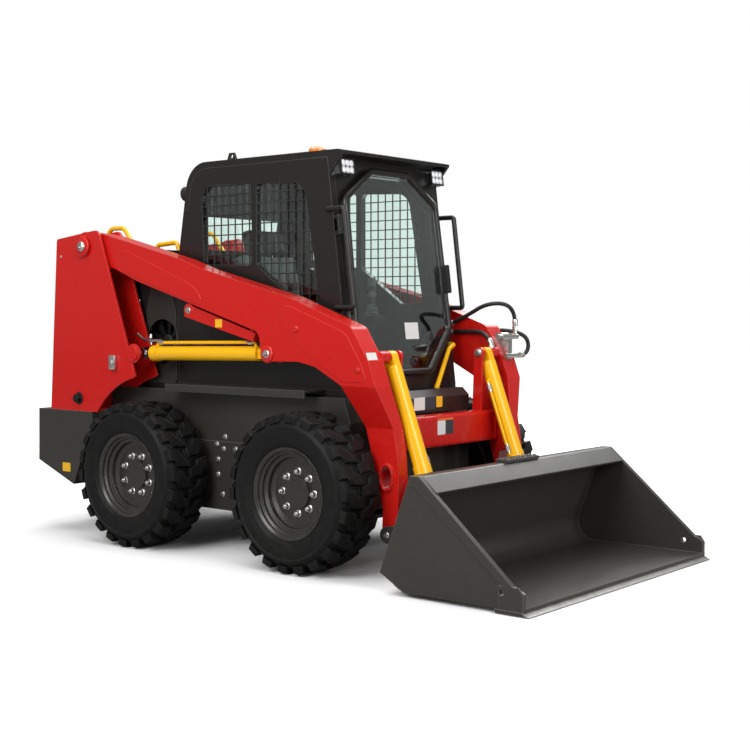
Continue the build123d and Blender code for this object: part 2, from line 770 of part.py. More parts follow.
# Cab front: a frame in the sloping door plane, open behind the door.
FRONT_SHEET = 30.0
DOOR_RISE = span(DOOR_FOOT, DOOR_HEAD)
DOOR_UP = ((DOOR_HEAD[0] - DOOR_FOOT[0]) / DOOR_RISE, (DOOR_HEAD[1] - DOOR_FOOT[1]) / DOOR_RISE)
DOOR_SILL = 195.0  # half the width of the door's foot
DOOR_CHAMFER = 245.0  # up the slope to the top of the foot's corners
DOOR_OUTLINE = [
    (-DOOR_SILL, 18),
    (DOOR_SILL, 18),
    (DOOR_HALF, DOOR_CHAMFER),
    (DOOR_HALF - 18, DOOR_RISE - 173),
    (155, DOOR_RISE - 15),
    (-155, DOOR_RISE - 15),
    (-DOOR_HALF + 18, DOOR_RISE - 173),
    (-DOOR_HALF, DOOR_CHAMFER),
]


def door_plane(off):
    """Plane parallel to the door, off in front of the cab front: x to the left, y up the slope."""
    return Plane(
        origin=(MID_X + DOOR_FOOT[0] + off * DOOR_UP[1], 0, DOOR_FOOT[1] - off * DOOR_UP[0]),
        x_dir=(0, 1, 0),
        z_dir=(DOOR_UP[1], 0, -DOOR_UP[0]),
    )


FRONT_LOW = (FLOOR_TOP + 4 - DOOR_FOOT[1]) / DOOR_UP[1]
FRONT_HIGH = (ROOF_LOW - DOOR_FOOT[1]) / DOOR_UP[1]
with BuildPart() as cab_front:
    with BuildSketch(door_plane(-FRONT_SHEET)):
        with Locations((0, (FRONT_LOW + FRONT_HIGH) / 2)):
            Rectangle(2 * INSIDE_HALF, FRONT_HIGH - FRONT_LOW)
        with BuildLine():
            Polyline(*DOOR_OUTLINE, close=True)
        offset(make_face(mode=Mode.PRIVATE), -2 * DOOR_TUBE, mode=Mode.SUBTRACT)
    extrude(amount=FRONT_SHEET)
pieces["cab_front"] = cab_front.part

# Lamps: two work lamps under the visor, two on the roof's wrap behind, a beacon on the roof.
with BuildPart() as work_lamps:
    with BuildSketch(door_plane(0)):
        with Locations((-368, DOOR_RISE - 33)):
            RectangleRounded(106, 80, 10)
    extrude(amount=58)
    mirror(about=Plane.XZ)
    add(cab_roof.part, mode=Mode.SUBTRACT)
pieces["work_lamps"] = work_lamps.part
REAR_LAMP = ROOF_TOP - 154
with BuildPart() as rear_lamps:
    with BuildSketch(at_front(on_line(*REAR_LINE, REAR_LAMP))):
        with Locations((-375, REAR_LAMP)):
            Circle(40)
    extrude(amount=-70)
    extrude(faces().sort_by(Axis.X)[-1], amount=12)
    mirror(about=Plane.XZ)
    add(cab_roof.part, mode=Mode.SUBTRACT)
pieces["rear_lamps"] = rear_lamps.part
with BuildPart() as beacon:
    with BuildSketch(at_height(ROOF_TOP)):
        with Locations((327, -280)):
            Circle(46)
    extrude(amount=42)
    chamfer(faces().sort_by(Axis.Z)[-1].edges(), 12)
pieces["beacon"] = beacon.part

# Grab handles: bent bars in front of the cab's corners.
HANDLE_OFF = CAB_HALF + HANDLE_TUBE + 1
HANDLE_OUT = 85.0
HANDLE_TOP = ROOF_TOP - 289
HANDLE_LOW = ROOF_TOP - 774
with BuildPart() as grab_handles:
    tube(
        [
            (front_x(HANDLE_TOP) - 30, -CAB_HALF + 5, HANDLE_TOP),
            (front_x(HANDLE_TOP) - 30, -HANDLE_OFF, HANDLE_TOP),
            (front_x(HANDLE_TOP) + HANDLE_OUT, -HANDLE_OFF, HANDLE_TOP),
            (front_x(HANDLE_LOW) + HANDLE_OUT, -HANDLE_OFF, HANDLE_LOW),
            (front_x(HANDLE_LOW) - 30, -HANDLE_OFF, HANDLE_LOW),
            (front_x(HANDLE_LOW) - 30, -CAB_HALF + 5, HANDLE_LOW),
        ],
        HANDLE_TUBE + 0.5,
        HANDLE_TUBE,
    )
    add(cab_side_right.part, mode=Mode.SUBTRACT)
    mirror(about=Plane.XZ)
pieces["grab_handles"] = grab_handles.part

# Hinges: a pin between two lugs on the cab front or tower, a bored knuckle on the door.
HINGE_PIN = 8.0
HINGE_KNUCKLE = 15.0
HINGE_HALF = 30.0
HINGE_LUG = 18.0
DOOR_AXIS = -DOOR_HALF - HINGE_KNUCKLE - 6
DOOR_HINGES = (300.0, DOOR_RISE - 316)
REAR_DOOR_X = -1420.0
REAR_DOOR_THICK = 46.0
REAR_DOOR_HALF = TOWER_IN - 10
REAR_DOOR_HEIGHTS = (704.0, 1312.0)
REAR_AXIS = (REAR_DOOR_X - 36, REAR_DOOR_HALF + HINGE_KNUCKLE + 4)
REAR_HINGES = (840.0, 1160.0)


def hinge_lugs(axis, reach):
    """Pin along the axis plane's normal, with two lugs that reach out along the plane's x."""
    rod_on(axis, HINGE_PIN, -HINGE_HALF - HINGE_LUG, HINGE_HALF + HINGE_LUG)
    for low in (-HINGE_HALF - HINGE_LUG, HINGE_HALF + 1):
        with BuildSketch(axis.offset(low)) as lug:
            Circle(HINGE_KNUCKLE - 2)
            with Locations((reach / 2, 0)):
                Rectangle(reach, 2 * HINGE_KNUCKLE - 8)
        extrude(lug.sketch, amount=HINGE_LUG - 1)


def hinge_knuckle(axis, reach):
    """Bored knuckle on the axis plane's normal, with a web that reaches out along the plane's x."""
    with BuildSketch(axis.offset(-HINGE_HALF)) as knuckle:
        Circle(HINGE_KNUCKLE)
        with Locations((reach / 2, 0)):
            Rectangle(reach, HINGE_KNUCKLE)
        Circle(HINGE_PIN + RUN_FIT, mode=Mode.SUBTRACT)
    extrude(knuckle.sketch, amount=2 * HINGE_HALF)


def door_hinge(height, facing):
    """Plane on the front door's hinge axis, height up the slope, its x facing the given way."""
    spot = door_plane(PANEL_GAP + DOOR_TUBE).from_local_coords((DOOR_AXIS, height, 0))
    return Plane(origin=spot, x_dir=facing, z_dir=(DOOR_UP[0], 0, DOOR_UP[1]))


def rear_hinge(height, facing):
    """Plane on the rear door's hinge axis at a height, its x facing the given way."""
    return Plane(origin=(MID_X + REAR_AXIS[0], REAR_AXIS[1], height), x_dir=facing, z_dir=(0, 0, 1))


with BuildPart() as hinges:
    for height in DOOR_HINGES:
        hinge_lugs(door_hinge(height, (-DOOR_UP[1], 0, DOOR_UP[0])), PANEL_GAP + DOOR_TUBE)
    for height in REAR_HINGES:
        hinge_lugs(rear_hinge(height, (1, 0, 0)), on_line(*TOWER_BACK, height) - REAR_AXIS[0] + 10)
    add(tower_left.part, mode=Mode.SUBTRACT)
pieces["hinges"] = hinges.part

# Door: a closed bent tube with the pane glued between, hung on two pins on the right.
with BuildSketch(door_plane(PANEL_GAP + DOOR_TUBE)) as door_middle:
    with BuildLine():
        Polyline(*DOOR_OUTLINE, close=True)
    offset(make_face(mode=Mode.PRIVATE), -DOOR_TUBE, kind=Kind.INTERSECTION)
    fillet(vertices(), DOOR_BEND)
DOOR_RUN = door_middle.sketch.faces()[0].outer_wire()
with BuildPart() as door_frame:
    with BuildSketch(DOOR_RUN ^ 0):
        Circle(DOOR_TUBE)
    sweep(path=DOOR_RUN)
    for height in DOOR_HINGES:
        hinge_knuckle(door_hinge(height, (0, 1, 0)), -DOOR_HALF - DOOR_AXIS + 2 * DOOR_TUBE)
pieces["door_frame"] = door_frame.part
with BuildPart() as door_glass:
    extrude(door_middle.sketch, amount=GLASS / 2, both=True)
    add(door_frame.part, mode=Mode.SUBTRACT)
pieces["door_glass"] = door_glass.part
LATCH_AT = (DOOR_HALF - DOOR_TUBE - 8, 520.0)
with BuildPart() as door_latch:
    with BuildSketch(door_plane(PANEL_GAP + DOOR_TUBE)):
        with Locations(LATCH_AT):
            RectangleRounded(2 * DOOR_TUBE - 8, 150, 8)
    extrude(amount=DOOR_TUBE + 22)
    add(door_frame.part, mode=Mode.SUBTRACT)
    add(door_glass.part, mode=Mode.SUBTRACT)
pieces["door_latch"] = door_latch.part

# Rear door: a louvred panel between the towers, hung on the left.
with BuildPart() as rear_door:
    with BuildSketch(at_front(REAR_DOOR_X)):
        with Locations((0, sum(REAR_DOOR_HEIGHTS) / 2)):
            RectangleRounded(2 * REAR_DOOR_HALF, REAR_DOOR_HEIGHTS[1] - REAR_DOOR_HEIGHTS[0], 40)
        with Locations((0, 1020)):
            with GridLocations(0, 52, 1, 8):
                SlotOverall(620, 26, mode=Mode.SUBTRACT)
    extrude(amount=-REAR_DOOR_THICK)
    for height in REAR_HINGES:
        hinge_knuckle(rear_hinge(height, (0, -1, 0)), REAR_AXIS[1] - REAR_DOOR_HALF + 10)
pieces["rear_door"] = rear_door.part

# Lift arms: a box beam, a joggle inwards at the knee and a thin leg inside the tyre.
BEAM = [
    (-1115, 1695),
    (-960, 1677),
    (-343, 1525),
    (-183, 1472),
    (429, 1321),
    (828, 1179),
    (932, 1020),
    (KNEE_FRONT, KNEE_TOP),
    (KNEE_REAR, KNEE_TOP),
    (600, 985),
    (490, 1007),
    (245, 1003),
    (228, 1147),
    (-364, 1321),
    (-680, 1413),
    (-873, 1487),
    (-1115, 1525),
]
LEG = [
    (LEG_REAR, KNEE_LOW),
    (903, 505),
    (952, 319),
    (FOOT[0] - FOOT_RADIUS, FOOT[1]),
    (FOOT[0] + FOOT_RADIUS, FOOT[1]),
    (1048, 450),
    (1041, 569),
    (LEG_FRONT, KNEE_LOW),
]
LEG_HOLE = (976.0, 472.0)
COLLAR = 11.0
EYE_SLOT = LIFT_EYE_WIDTH / 2 + SIDE_PLAY
with BuildPart() as arm_right:
    with BuildSketch(at_side(-ARM_IN)):
        with BuildLine():
            Polyline(*BEAM, close=True)
        make_face()
        fillet(vertices().filter_by_position(Axis.Y, KNEE_TOP + 1, 1600), 55)
        with Locations(PIVOT):
            Circle(85)
        with Locations(LIFT_ARM_PIN):
            Circle(46)
    extrude(amount=ARM_OUT - ARM_IN)
    with BuildSketch(at_height(KNEE_TOP)):
        with Locations(((KNEE_REAR + KNEE_FRONT) / 2, -(ARM_IN + ARM_OUT) / 2)):
            Rectangle(KNEE_FRONT - KNEE_REAR, ARM_OUT - ARM_IN)
    with BuildSketch(at_height(KNEE_LOW)):
        with Locations(((LEG_REAR + LEG_FRONT) / 2, -(LEG_IN + LEG_OUT) / 2)):
            Rectangle(LEG_FRONT - LEG_REAR, LEG_OUT - LEG_IN)
    loft()
    slab(LEG, LEG_IN, LEG_OUT)
    round_bar(FOOT, FOOT_RADIUS, LEG_IN, LEG_OUT)
    with BuildSketch(at_side(-LEG_IN)):
        with Locations(LEG_HOLE):
            Ellipse(34 + COLLAR, 54 + COLLAR)
    extrude(amount=LEG_OUT - LEG_IN + COLLAR)
    with BuildSketch(at_side(-LEG_IN)):
        with Locations(LEG_HOLE):
            Ellipse(34, 54)
    extrude(amount=LEG_OUT - LEG_IN + COLLAR, mode=Mode.SUBTRACT)
    round_bar(FOOT, FOOT_PIN + RUN_FIT, LEG_IN, LEG_OUT, Mode.SUBTRACT)
    round_bar(PIVOT, PIVOT_PIN + RUN_FIT, ARM_IN, ARM_OUT, Mode.SUBTRACT)
    slab(
        [(130, 950), (350, 950), (350, 1105), (200, 1150), (130, 1150)],
        LIFT_OFF - EYE_SLOT,
        LIFT_OFF + EYE_SLOT,
        mode=Mode.SUBTRACT,
    )
    round_bar(LIFT_ARM_PIN, LIFT_PIN, ARM_IN, ARM_OUT + 8)
with BuildPart() as arm_left:
    mirror(arm_right.part, about=Plane.XZ)
pieces["arm_right"] = arm_right.part
pieces["arm_left"] = arm_left.part

# Cross beam between the legs, with the inner ears and pins of the tilt cylinders.
BEAM_X = (838.0, 938.0)
BEAM_Z = (575.0, 735.0)
TILT_EAR = TILT_OFF - TILT_BARREL - 8
TILT_BOSS = 30.0
with BuildPart() as crossbeam:
    with BuildSketch(at_side(LEG_IN)):
        with Locations((sum(BEAM_X) / 2, sum(BEAM_Z) / 2)):
            RectangleRounded(BEAM_X[1] - BEAM_X[0], BEAM_Z[1] - BEAM_Z[0], 18)
    extrude(amount=2 * LEG_IN)
    slab(
        [
            (BEAM_X[0] + 20, BEAM_Z[1] - 20),
            (BEAM_X[1] - 26, BEAM_Z[1] - 20),
            (TILT_TOP[0] + TILT_BOSS - 4, TILT_TOP[1]),
            (TILT_TOP[0] - TILT_BOSS + 4, TILT_TOP[1]),
        ],
        TILT_EAR - EAR,
        TILT_EAR,
    )
    round_bar(TILT_TOP, TILT_BOSS, TILT_EAR - EAR, TILT_EAR)
    round_bar(TILT_TOP, TILT_PIN, TILT_EAR - EAR, ARM_IN)
    round_bar(TILT_TOP, TILT_BOSS, TILT_OFF + TILT_EYE_WIDTH / 2 + SIDE_PLAY, ARM_IN)
    mirror(about=Plane.XZ)
pieces["crossbeam"] = crossbeam.part


def arm_under(x):
    """Height of the straight underside of the arm over the lift cylinder."""
    (front, low), (rear, high) = BEAM[12:14]
    return low + (x - front) * (high - low) / (rear - front)


# Lift lock: a channel stored below the right arm on two tabs.
STRUT_HALF = 40.0
with BuildPart() as lock_strut:
    slab([(-330, 1225), (-310, 1290), (190, 1140), (170, 1100)], LIFT_OFF - STRUT_HALF, LIFT_OFF + STRUT_HALF)
    slab(
        [(-280, 1200), (-280, 1250), (170, 1115), (150, 1080)],
        LIFT_OFF - STRUT_HALF + 6,
        LIFT_OFF + STRUT_HALF - 6,
        mode=Mode.SUBTRACT,
    )
    for x0, x1 in ((-318, -288), (130, 160)):
        slab(
            [
                (x0, arm_under(x0)),
                (x1, arm_under(x1)),
                (x1, arm_under(x1) - 34),
                (x0, arm_under(x0) - 34),
            ],
            LIFT_OFF - 20,
            LIFT_OFF + 20,
        )
pieces["lock_strut"] = lock_strut.part

# Lift cylinders: barrel pinned to the arm with its pipe above, rod towards the tower.
LIFT_LENGTH = span(LIFT_ARM_PIN, LIFT_TOWER_PIN)
LIFT_AXIS = along(LIFT_ARM_PIN, LIFT_TOWER_PIN, LIFT_OFF)
LIFT_CAP = 100.0  # barrel start from the arm pin
LIFT_PIPE = LIFT_BARREL + 19
LIFT_BORE = (LIFT_OFF - LIFT_EYE_WIDTH, LIFT_OFF + LIFT_EYE_WIDTH)


def pipe_beside(axis, aside, low, high, radius):
    """A thin pipe parallel to the axis, both ends bent onto the barrel; aside is in the axis plane."""
    with BuildLine() as run:
        FilletPolyline(
            axis.from_local_coords((0, 0, low)),
            axis.from_local_coords((aside[0], aside[1], low)),
            axis.from_local_coords((aside[0], aside[1], high)),
            axis.from_local_coords((0, 0, high)),
            radius=2 * radius,
        )
    with BuildSketch(run.line ^ 0) as section:
        Circle(radius)
    sweep(section.sketch, path=run.line)


with BuildPart() as lift_barrels:
    pipe_beside(LIFT_AXIS, (0, LIFT_PIPE), 128, LIFT_GLAND - 32, PIPE_RADIUS)
    rod_on(LIFT_AXIS, LIFT_BARREL, LIFT_CAP, LIFT_GLAND)
    rod_on(LIFT_AXIS, LIFT_BARREL + 5, LIFT_GLAND - 52, LIFT_GLAND)
    with BuildSketch(LIFT_AXIS):
        Rectangle(LIFT_EYE_WIDTH - 16, 2 * LIFT_EYE - 16)
    extrude(amount=LIFT_CAP)
    round_bar(LIFT_ARM_PIN, LIFT_EYE, LIFT_OFF - LIFT_EYE_WIDTH / 2, LIFT_OFF + LIFT_EYE_WIDTH / 2)
    round_bar(LIFT_ARM_PIN, LIFT_PIN + RUN_FIT, *LIFT_BORE, Mode.SUBTRACT)
    rod_on(LIFT_AXIS, LIFT_BARREL - BARREL_WALL, LIFT_CAP + 12, LIFT_GLAND - GLAND_DEPTH, Mode.SUBTRACT)
    rod_on(LIFT_AXIS, LIFT_ROD + RUN_FIT, LIFT_CAP + 12, LIFT_GLAND, Mode.SUBTRACT)
    mirror(about=Plane.XZ)
pieces["lift_barrels"] = lift_barrels.part
with BuildPart() as lift_rods:
    rod_on(LIFT_AXIS, LIFT_ROD, LIFT_CAP + 18, LIFT_LENGTH)
    round_bar(LIFT_TOWER_PIN, LIFT_EYE, LIFT_OFF - LIFT_EYE_WIDTH / 2, LIFT_OFF + LIFT_EYE_WIDTH / 2)
    round_bar(LIFT_TOWER_PIN, LIFT_PIN, *LIFT_BORE, Mode.SUBTRACT)
    mirror(about=Plane.XZ)
pieces["lift_rods"] = lift_rods.part

# Tilt cylinders: barrel hung from the pin by the arm, pipe on its inner side, rod down to the attach plate.
TILT_LENGTH = span(TILT_TOP, TILT_LOW)
TILT_AXIS = along(TILT_TOP, TILT_LOW, TILT_OFF)
TILT_CAP = 50.0
TILT_PIPE = TILT_BARREL + 14
TILT_BORE = (TILT_OFF - TILT_EYE_WIDTH, TILT_OFF + TILT_EYE_WIDTH)
TILT_PORT = (150.0, TILT_GLAND - 24)
with BuildPart() as tilt_barrels:
    pipe_beside(TILT_AXIS, (-TILT_PIPE, 0), *TILT_PORT, PIPE_RADIUS - 2)
    rod_on(TILT_AXIS, TILT_BARREL, TILT_CAP, TILT_GLAND)
    rod_on(TILT_AXIS, TILT_BARREL + 4, TILT_GLAND - 46, TILT_GLAND)
    with BuildSketch(TILT_AXIS):
        Rectangle(TILT_EYE_WIDTH, 2 * TILT_EYE)
    extrude(amount=TILT_CAP)
    round_bar(TILT_TOP, TILT_EYE, TILT_OFF - TILT_EYE_WIDTH / 2, TILT_OFF + TILT_EYE_WIDTH / 2)
    round_bar(TILT_TOP, TILT_PIN + RUN_FIT, *TILT_BORE, Mode.SUBTRACT)
    rod_on(TILT_AXIS, TILT_BARREL - BARREL_WALL, TILT_CAP + 12, TILT_GLAND - GLAND_DEPTH, Mode.SUBTRACT)
    rod_on(TILT_AXIS, TILT_ROD + RUN_FIT, TILT_CAP + 12, TILT_GLAND, Mode.SUBTRACT)
    mirror(about=Plane.XZ)
pieces["tilt_barrels"] = tilt_barrels.part
with BuildPart() as tilt_rods:
    rod_on(TILT_AXIS, TILT_ROD, TILT_CAP + 115, TILT_LENGTH)
    round_bar(TILT_LOW, TILT_EYE, TILT_OFF - TILT_EYE_WIDTH / 2, TILT_OFF + TILT_EYE_WIDTH / 2)
    round_bar(TILT_LOW, TILT_PIN, TILT_OFF - TILT_EYE_WIDTH, TILT_OFF + TILT_EYE_WIDTH, Mode.SUBTRACT)
    mirror(about=Plane.XZ)
pieces["tilt_rods"] = tilt_rods.part

# Bucket: a rolled skin with a folded lip between two chamfered side plates with edge bars and wear corners.
SKIN_LOW = EDGE_LOW + EDGE_THICK
HEEL = (BUCKET_BACK + 132, SKIN_LOW)
BACK_LOW = (BUCKET_BACK, 95.0)
BACK_TOP = (BUCKET_BACK + 169, BUCKET_TOP)
LIP_TOP = (BACK_TOP[0] + 54, BUCKET_TOP + 1)
LIP_LOW = (LIP_TOP[0] + 82, BUCKET_TOP - 64)
SLOPE_LOW = (FRONT_REACH - 82, 120.0)
FLOOR_FRONT = FRONT_REACH - 30
SIDE_OUT = BUCKET_HALF - BUCKET_SIDE / 2  # outside of the side plate, inside of the bars on it
SIDE_IN = SIDE_OUT - BUCKET_SIDE
EDGE_BAR = 46.0
WEAR_BACK = FRONT_REACH - 152
with BuildPart() as bucket_shell:
    with BuildSketch(at_side(SIDE_IN)):
        with BuildLine():
            FilletPolyline(
                (FLOOR_FRONT, SKIN_LOW),
                (on_line(BACK_LOW, BACK_TOP, SKIN_LOW), SKIN_LOW),
                BACK_TOP,
                radius=BUCKET_BEND,
            )
            FilletPolyline(BACK_TOP, LIP_TOP, LIP_LOW, radius=22)
            offset(amount=BUCKET_SKIN, side=Side.RIGHT)
        make_face()
    extrude(amount=2 * SIDE_IN)
    slab(
        [BACK_TOP, LIP_TOP, SLOPE_LOW, (FLOOR_FRONT, 96), (FLOOR_FRONT, SKIN_LOW), HEEL, BACK_LOW],
        SIDE_IN,
        SIDE_OUT,
    )
    slab(
        [
            LIP_TOP,
            SLOPE_LOW,
            (SLOPE_LOW[0] - EDGE_BAR, SLOPE_LOW[1]),
            (LIP_TOP[0] - 22, LIP_TOP[1] - EDGE_BAR),
            (BACK_TOP[0] + 6, BACK_TOP[1] - EDGE_BAR),
            BACK_TOP,
        ],
        SIDE_OUT,
        BUCKET_HALF,
    )
    slab(
        [
            (WEAR_BACK, SLOPE_LOW[1]),
            (FLOOR_FRONT - 22, SLOPE_LOW[1]),
            (FLOOR_FRONT, 92),
            (FLOOR_FRONT, SKIN_LOW),
            (WEAR_BACK, SKIN_LOW),
        ],
        SIDE_OUT,
        BUCKET_HALF,
    )
    round_bar((FRONT_REACH - 136, 92), BUCKET_EYE, SIDE_IN, BUCKET_HALF, Mode.SUBTRACT)
    mirror(about=Plane.XZ)
pieces["bucket_shell"] = bucket_shell.part

with BuildPart() as cutting_edge:
    slab(
        [
            (FRONT_REACH, EDGE_LOW),
            (FRONT_REACH - 34, SKIN_LOW),
            (FRONT_REACH - EDGE_DEPTH, SKIN_LOW),
            (FRONT_REACH - EDGE_DEPTH, EDGE_LOW),
        ],
        -BUCKET_HALF,
        BUCKET_HALF,
    )
pieces["cutting_edge"] = cutting_edge.part

# Step plate bolted on the lip.
with BuildPart() as bucket_step:
    with BuildSketch(at_height(BUCKET_TOP + 1)):
        with Locations(((BACK_TOP[0] + LIP_TOP[0]) / 2, -20)):
            RectangleRounded(70, 280, 8)
    extrude(amount=14)
    add(bucket_shell.part, mode=Mode.SUBTRACT)
pieces["bucket_step"] = bucket_step.part

# Attach plate: lies on the bucket's back, with ears for the arm feet and the tilt rods' eyes.
BACK_RISE = span(BACK_LOW, BACK_TOP)
BACK_UP = ((BACK_TOP[0] - BACK_LOW[0]) / BACK_RISE, (BACK_TOP[1] - BACK_LOW[1]) / BACK_RISE)


def behind(up, back):
    """Side point up along the bucket's back from its low corner and back behind it."""
    x = BACK_LOW[0] + up * BACK_UP[0] - back * BACK_UP[1]
    return (x, BACK_LOW[1] + up * BACK_UP[1] + back * BACK_UP[0])


ATTACH_HALF = 580.0
ATTACH_PLATE = 16.0
TILT_GAP = TILT_EYE_WIDTH / 2 + SIDE_PLAY
with BuildPart() as attach_plate:
    slab(
        [behind(96, 0), behind(440, 0), behind(440, ATTACH_PLATE), behind(30, ATTACH_PLATE), behind(30, 4)],
        -ATTACH_HALF,
        ATTACH_HALF,
    )
    slab(
        [behind(150, 0), behind(400, 0), behind(400, 40), behind(150, 40)],
        TILT_OFF - TILT_GAP,
        TILT_OFF + TILT_GAP,
        mode=Mode.SUBTRACT,
    )
    slab(
        [
            behind(40, ATTACH_PLATE),
            (FOOT[0], FOOT[1] - 40),
            (FOOT[0], FOOT[1] + 40),
            behind(200, ATTACH_PLATE),
        ],
        LEG_OUT + SIDE_PLAY,
        LEG_OUT + SIDE_PLAY + EAR,
    )
    round_bar(FOOT, 40, LEG_OUT + SIDE_PLAY, LEG_OUT + SIDE_PLAY + EAR)
    slab(
        [
            behind(40, ATTACH_PLATE),
            (FOOT[0], FOOT[1] - 40),
            (FOOT[0] - 10, FOOT[1] + 40),
            (TILT_LOW[0] - 34, TILT_LOW[1] + 20),
            (TILT_LOW[0], TILT_LOW[1] + 34),
            behind(300, ATTACH_PLATE),
        ],
        LEG_IN - SIDE_PLAY - EAR,
        LEG_IN - SIDE_PLAY,
    )
    round_bar(FOOT, 40, LEG_IN - SIDE_PLAY - EAR, LEG_IN - SIDE_PLAY)
    round_bar(FOOT, FOOT_PIN, LEG_IN - SIDE_PLAY - EAR, LEG_OUT + SIDE_PLAY + EAR)
    mirror(about=Plane.XZ)
pieces["attach_plate"] = attach_plate.part

# Auxiliary couplers at the left knee with the ferrules and clamps of their hoses.
HOSE_RADIUS = 11.0
FERRULE = 13.0
FERRULE_LENGTH = 60.0
HOSE_OFF = ARM_IN - FERRULE  # hoses lie on the inside of the arm
COUPLER_END = DOOR_HALF + DOOR_TUBE + 2 * SIDE_PLAY  # clear of the opening door
COUPLER_X = 950.0
UPPER_Z = 1118.0
LOWER_Z = 1018.0
UPPER_HOSE = [
    (600, HOSE_OFF, 1180),
    (720, HOSE_OFF, 1228),
    (840, HOSE_OFF - 8, 1290),
    (945, 520, 1296),
    (COUPLER_X, 600, 1240),
    (COUPLER_X, 600, UPPER_Z + FERRULE_LENGTH),
]
SIDE_HOSE = [
    (800, 634, 1150),
    (905, 634, 1150),
    (960, 690, 1120),
    (965, 716, 1065),
    (955, 696, LOWER_Z),
    (COUPLER_X, 620 + FERRULE_LENGTH / 2, LOWER_Z),
]
TILT_HOSE = [
    (600, HOSE_OFF, 1140),
    (740, HOSE_OFF, 1146),
    (850, HOSE_OFF - 10, 1140),
    (TILT_TOP[0] - 4, 462, TILT_TOP[1] + TILT_BOSS + 14),
]


def ferrule(before, at, length):
    """A crimped sleeve that ends where a hose's first point is and lies on the line of its first run."""
    run = Vector(*at) - Vector(*before)
    with BuildSketch(Plane(origin=(MID_X + before[0], before[1], before[2]), z_dir=-run)) as outline:
        Circle(FERRULE)
    extrude(outline.sketch, amount=length)


with BuildPart() as couplers:
    round_bar((COUPLER_X, UPPER_Z), 14, -618, -COUPLER_END)
    round_bar((COUPLER_X, UPPER_Z), 22, -COUPLER_END - 84, -COUPLER_END - 24)
    round_bar((COUPLER_X, LOWER_Z), 14, -632, -505)
    block(880, COUPLER_X + 8, 520, 560, LOWER_Z - 20, UPPER_Z + 20)
    ferrule(UPPER_HOSE[-1], UPPER_HOSE[-2], FERRULE_LENGTH)
    ferrule(SIDE_HOSE[-1], SIDE_HOSE[-2], FERRULE_LENGTH / 2)
    ferrule(UPPER_HOSE[0], UPPER_HOSE[1], FERRULE_LENGTH)
    ferrule(SIDE_HOSE[0], SIDE_HOSE[1], FERRULE_LENGTH)
    ferrule(TILT_HOSE[0], TILT_HOSE[1], FERRULE_LENGTH)
    ferrule(TILT_HOSE[-1], TILT_HOSE[-2], FERRULE_LENGTH / 2)
    block(550, 580, HOSE_OFF - FERRULE, ARM_IN, 1115, 1190)
    block(750, 780, ARM_OUT, 655, 1130, 1170)
    add(arm_left.part, mode=Mode.SUBTRACT)
    add(crossbeam.part, mode=Mode.SUBTRACT)
pieces["couplers"] = couplers.part


def hose_bend(points):
    """The largest bend radius that still leaves a straight run between a hose's bends."""
    radii = []
    for before, at, after in zip(points, points[1:], points[2:]):
        back = Vector(*before) - Vector(*at)
        ahead = Vector(*after) - Vector(*at)
        turn = radians(180 - back.get_angle(ahead))
        radii.append(0.45 * min(back.length, ahead.length) / tan(turn / 2))
    return min(radii)


for name, route in (("upper_hose", UPPER_HOSE), ("side_hose", SIDE_HOSE), ("tilt_hose", TILT_HOSE)):
    with BuildPart() as hose:
        tube(route, hose_bend(route), HOSE_RADIUS)
    pieces[name] = hose.part

os.makedirs("parts", exist_ok=True)
for name, piece in pieces.items():
    piece.label = name
    export_step(piece, f"parts/{name}.step")
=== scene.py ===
# %% [markdown]
# # A skid steer loader, dressed for the studio
# The machine's solids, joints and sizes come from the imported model, which is loaded once and never moved.
# This script adds what the solids leave out: finishes, tyre tread, bolts, cushions, hoses, lamps and blank
# plates.

# %% Load the frame
import math

import bmesh
import bpy
from mathutils import Matrix, Vector


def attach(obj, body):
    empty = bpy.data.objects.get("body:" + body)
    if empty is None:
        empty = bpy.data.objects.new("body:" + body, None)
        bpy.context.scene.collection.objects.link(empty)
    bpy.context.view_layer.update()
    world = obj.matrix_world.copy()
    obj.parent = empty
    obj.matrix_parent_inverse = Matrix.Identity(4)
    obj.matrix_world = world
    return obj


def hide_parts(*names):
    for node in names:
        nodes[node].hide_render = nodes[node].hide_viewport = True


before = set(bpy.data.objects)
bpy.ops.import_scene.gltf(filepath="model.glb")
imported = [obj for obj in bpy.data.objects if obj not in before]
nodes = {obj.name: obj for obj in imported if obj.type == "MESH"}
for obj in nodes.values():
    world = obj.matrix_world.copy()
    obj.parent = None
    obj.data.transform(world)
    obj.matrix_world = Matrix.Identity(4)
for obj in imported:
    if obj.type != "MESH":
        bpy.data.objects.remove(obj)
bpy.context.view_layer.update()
slots = {name: solid.data.materials[0].name.split(".")[0] for name, solid in nodes.items()}
for name, solid in nodes.items():
    solid.data.materials[0].name = "solid_" + slots[name]

# %% [markdown]
# ## Where things are
# All measures on the machine were taken from the middle of the wheelbase. The frame's origin lies under the
# middle of the whole box, so one helper moves a point from the one to the other, in metres.

# %% Shared places
MID_X = -0.223
WHEEL_X = 0.58
WHEEL_Y = 0.675
WHEEL_R = 0.386


def at(x, y, z):
    """A point measured from the wheelbase middle, in the frame."""
    return Vector((x + MID_X, y, z))


# %% [markdown]
# ## Camera
# A camera fit gave the place: low, in front of the machine's right side, with a fairly long lens. The lens
# is given for a square picture 36 mm wide. Aiming the camera at a point keeps its turn out of the script.

# %% Camera
camera_data = bpy.data.cameras.new("camera")
camera_data.lens = 64.3
camera_data.sensor_width = 36
camera = bpy.data.objects.new("camera", camera_data)
camera.location = at(4.892, -5.417, 1.255)
camera.rotation_euler = (at(0.4749, 0, 0.9194) - camera.location).to_track_quat("-Z", "Y").to_euler()
bpy.context.scene.collection.objects.link(camera)
bpy.context.scene.camera = camera
print("camera", [round(v, 3) for v in camera.location])

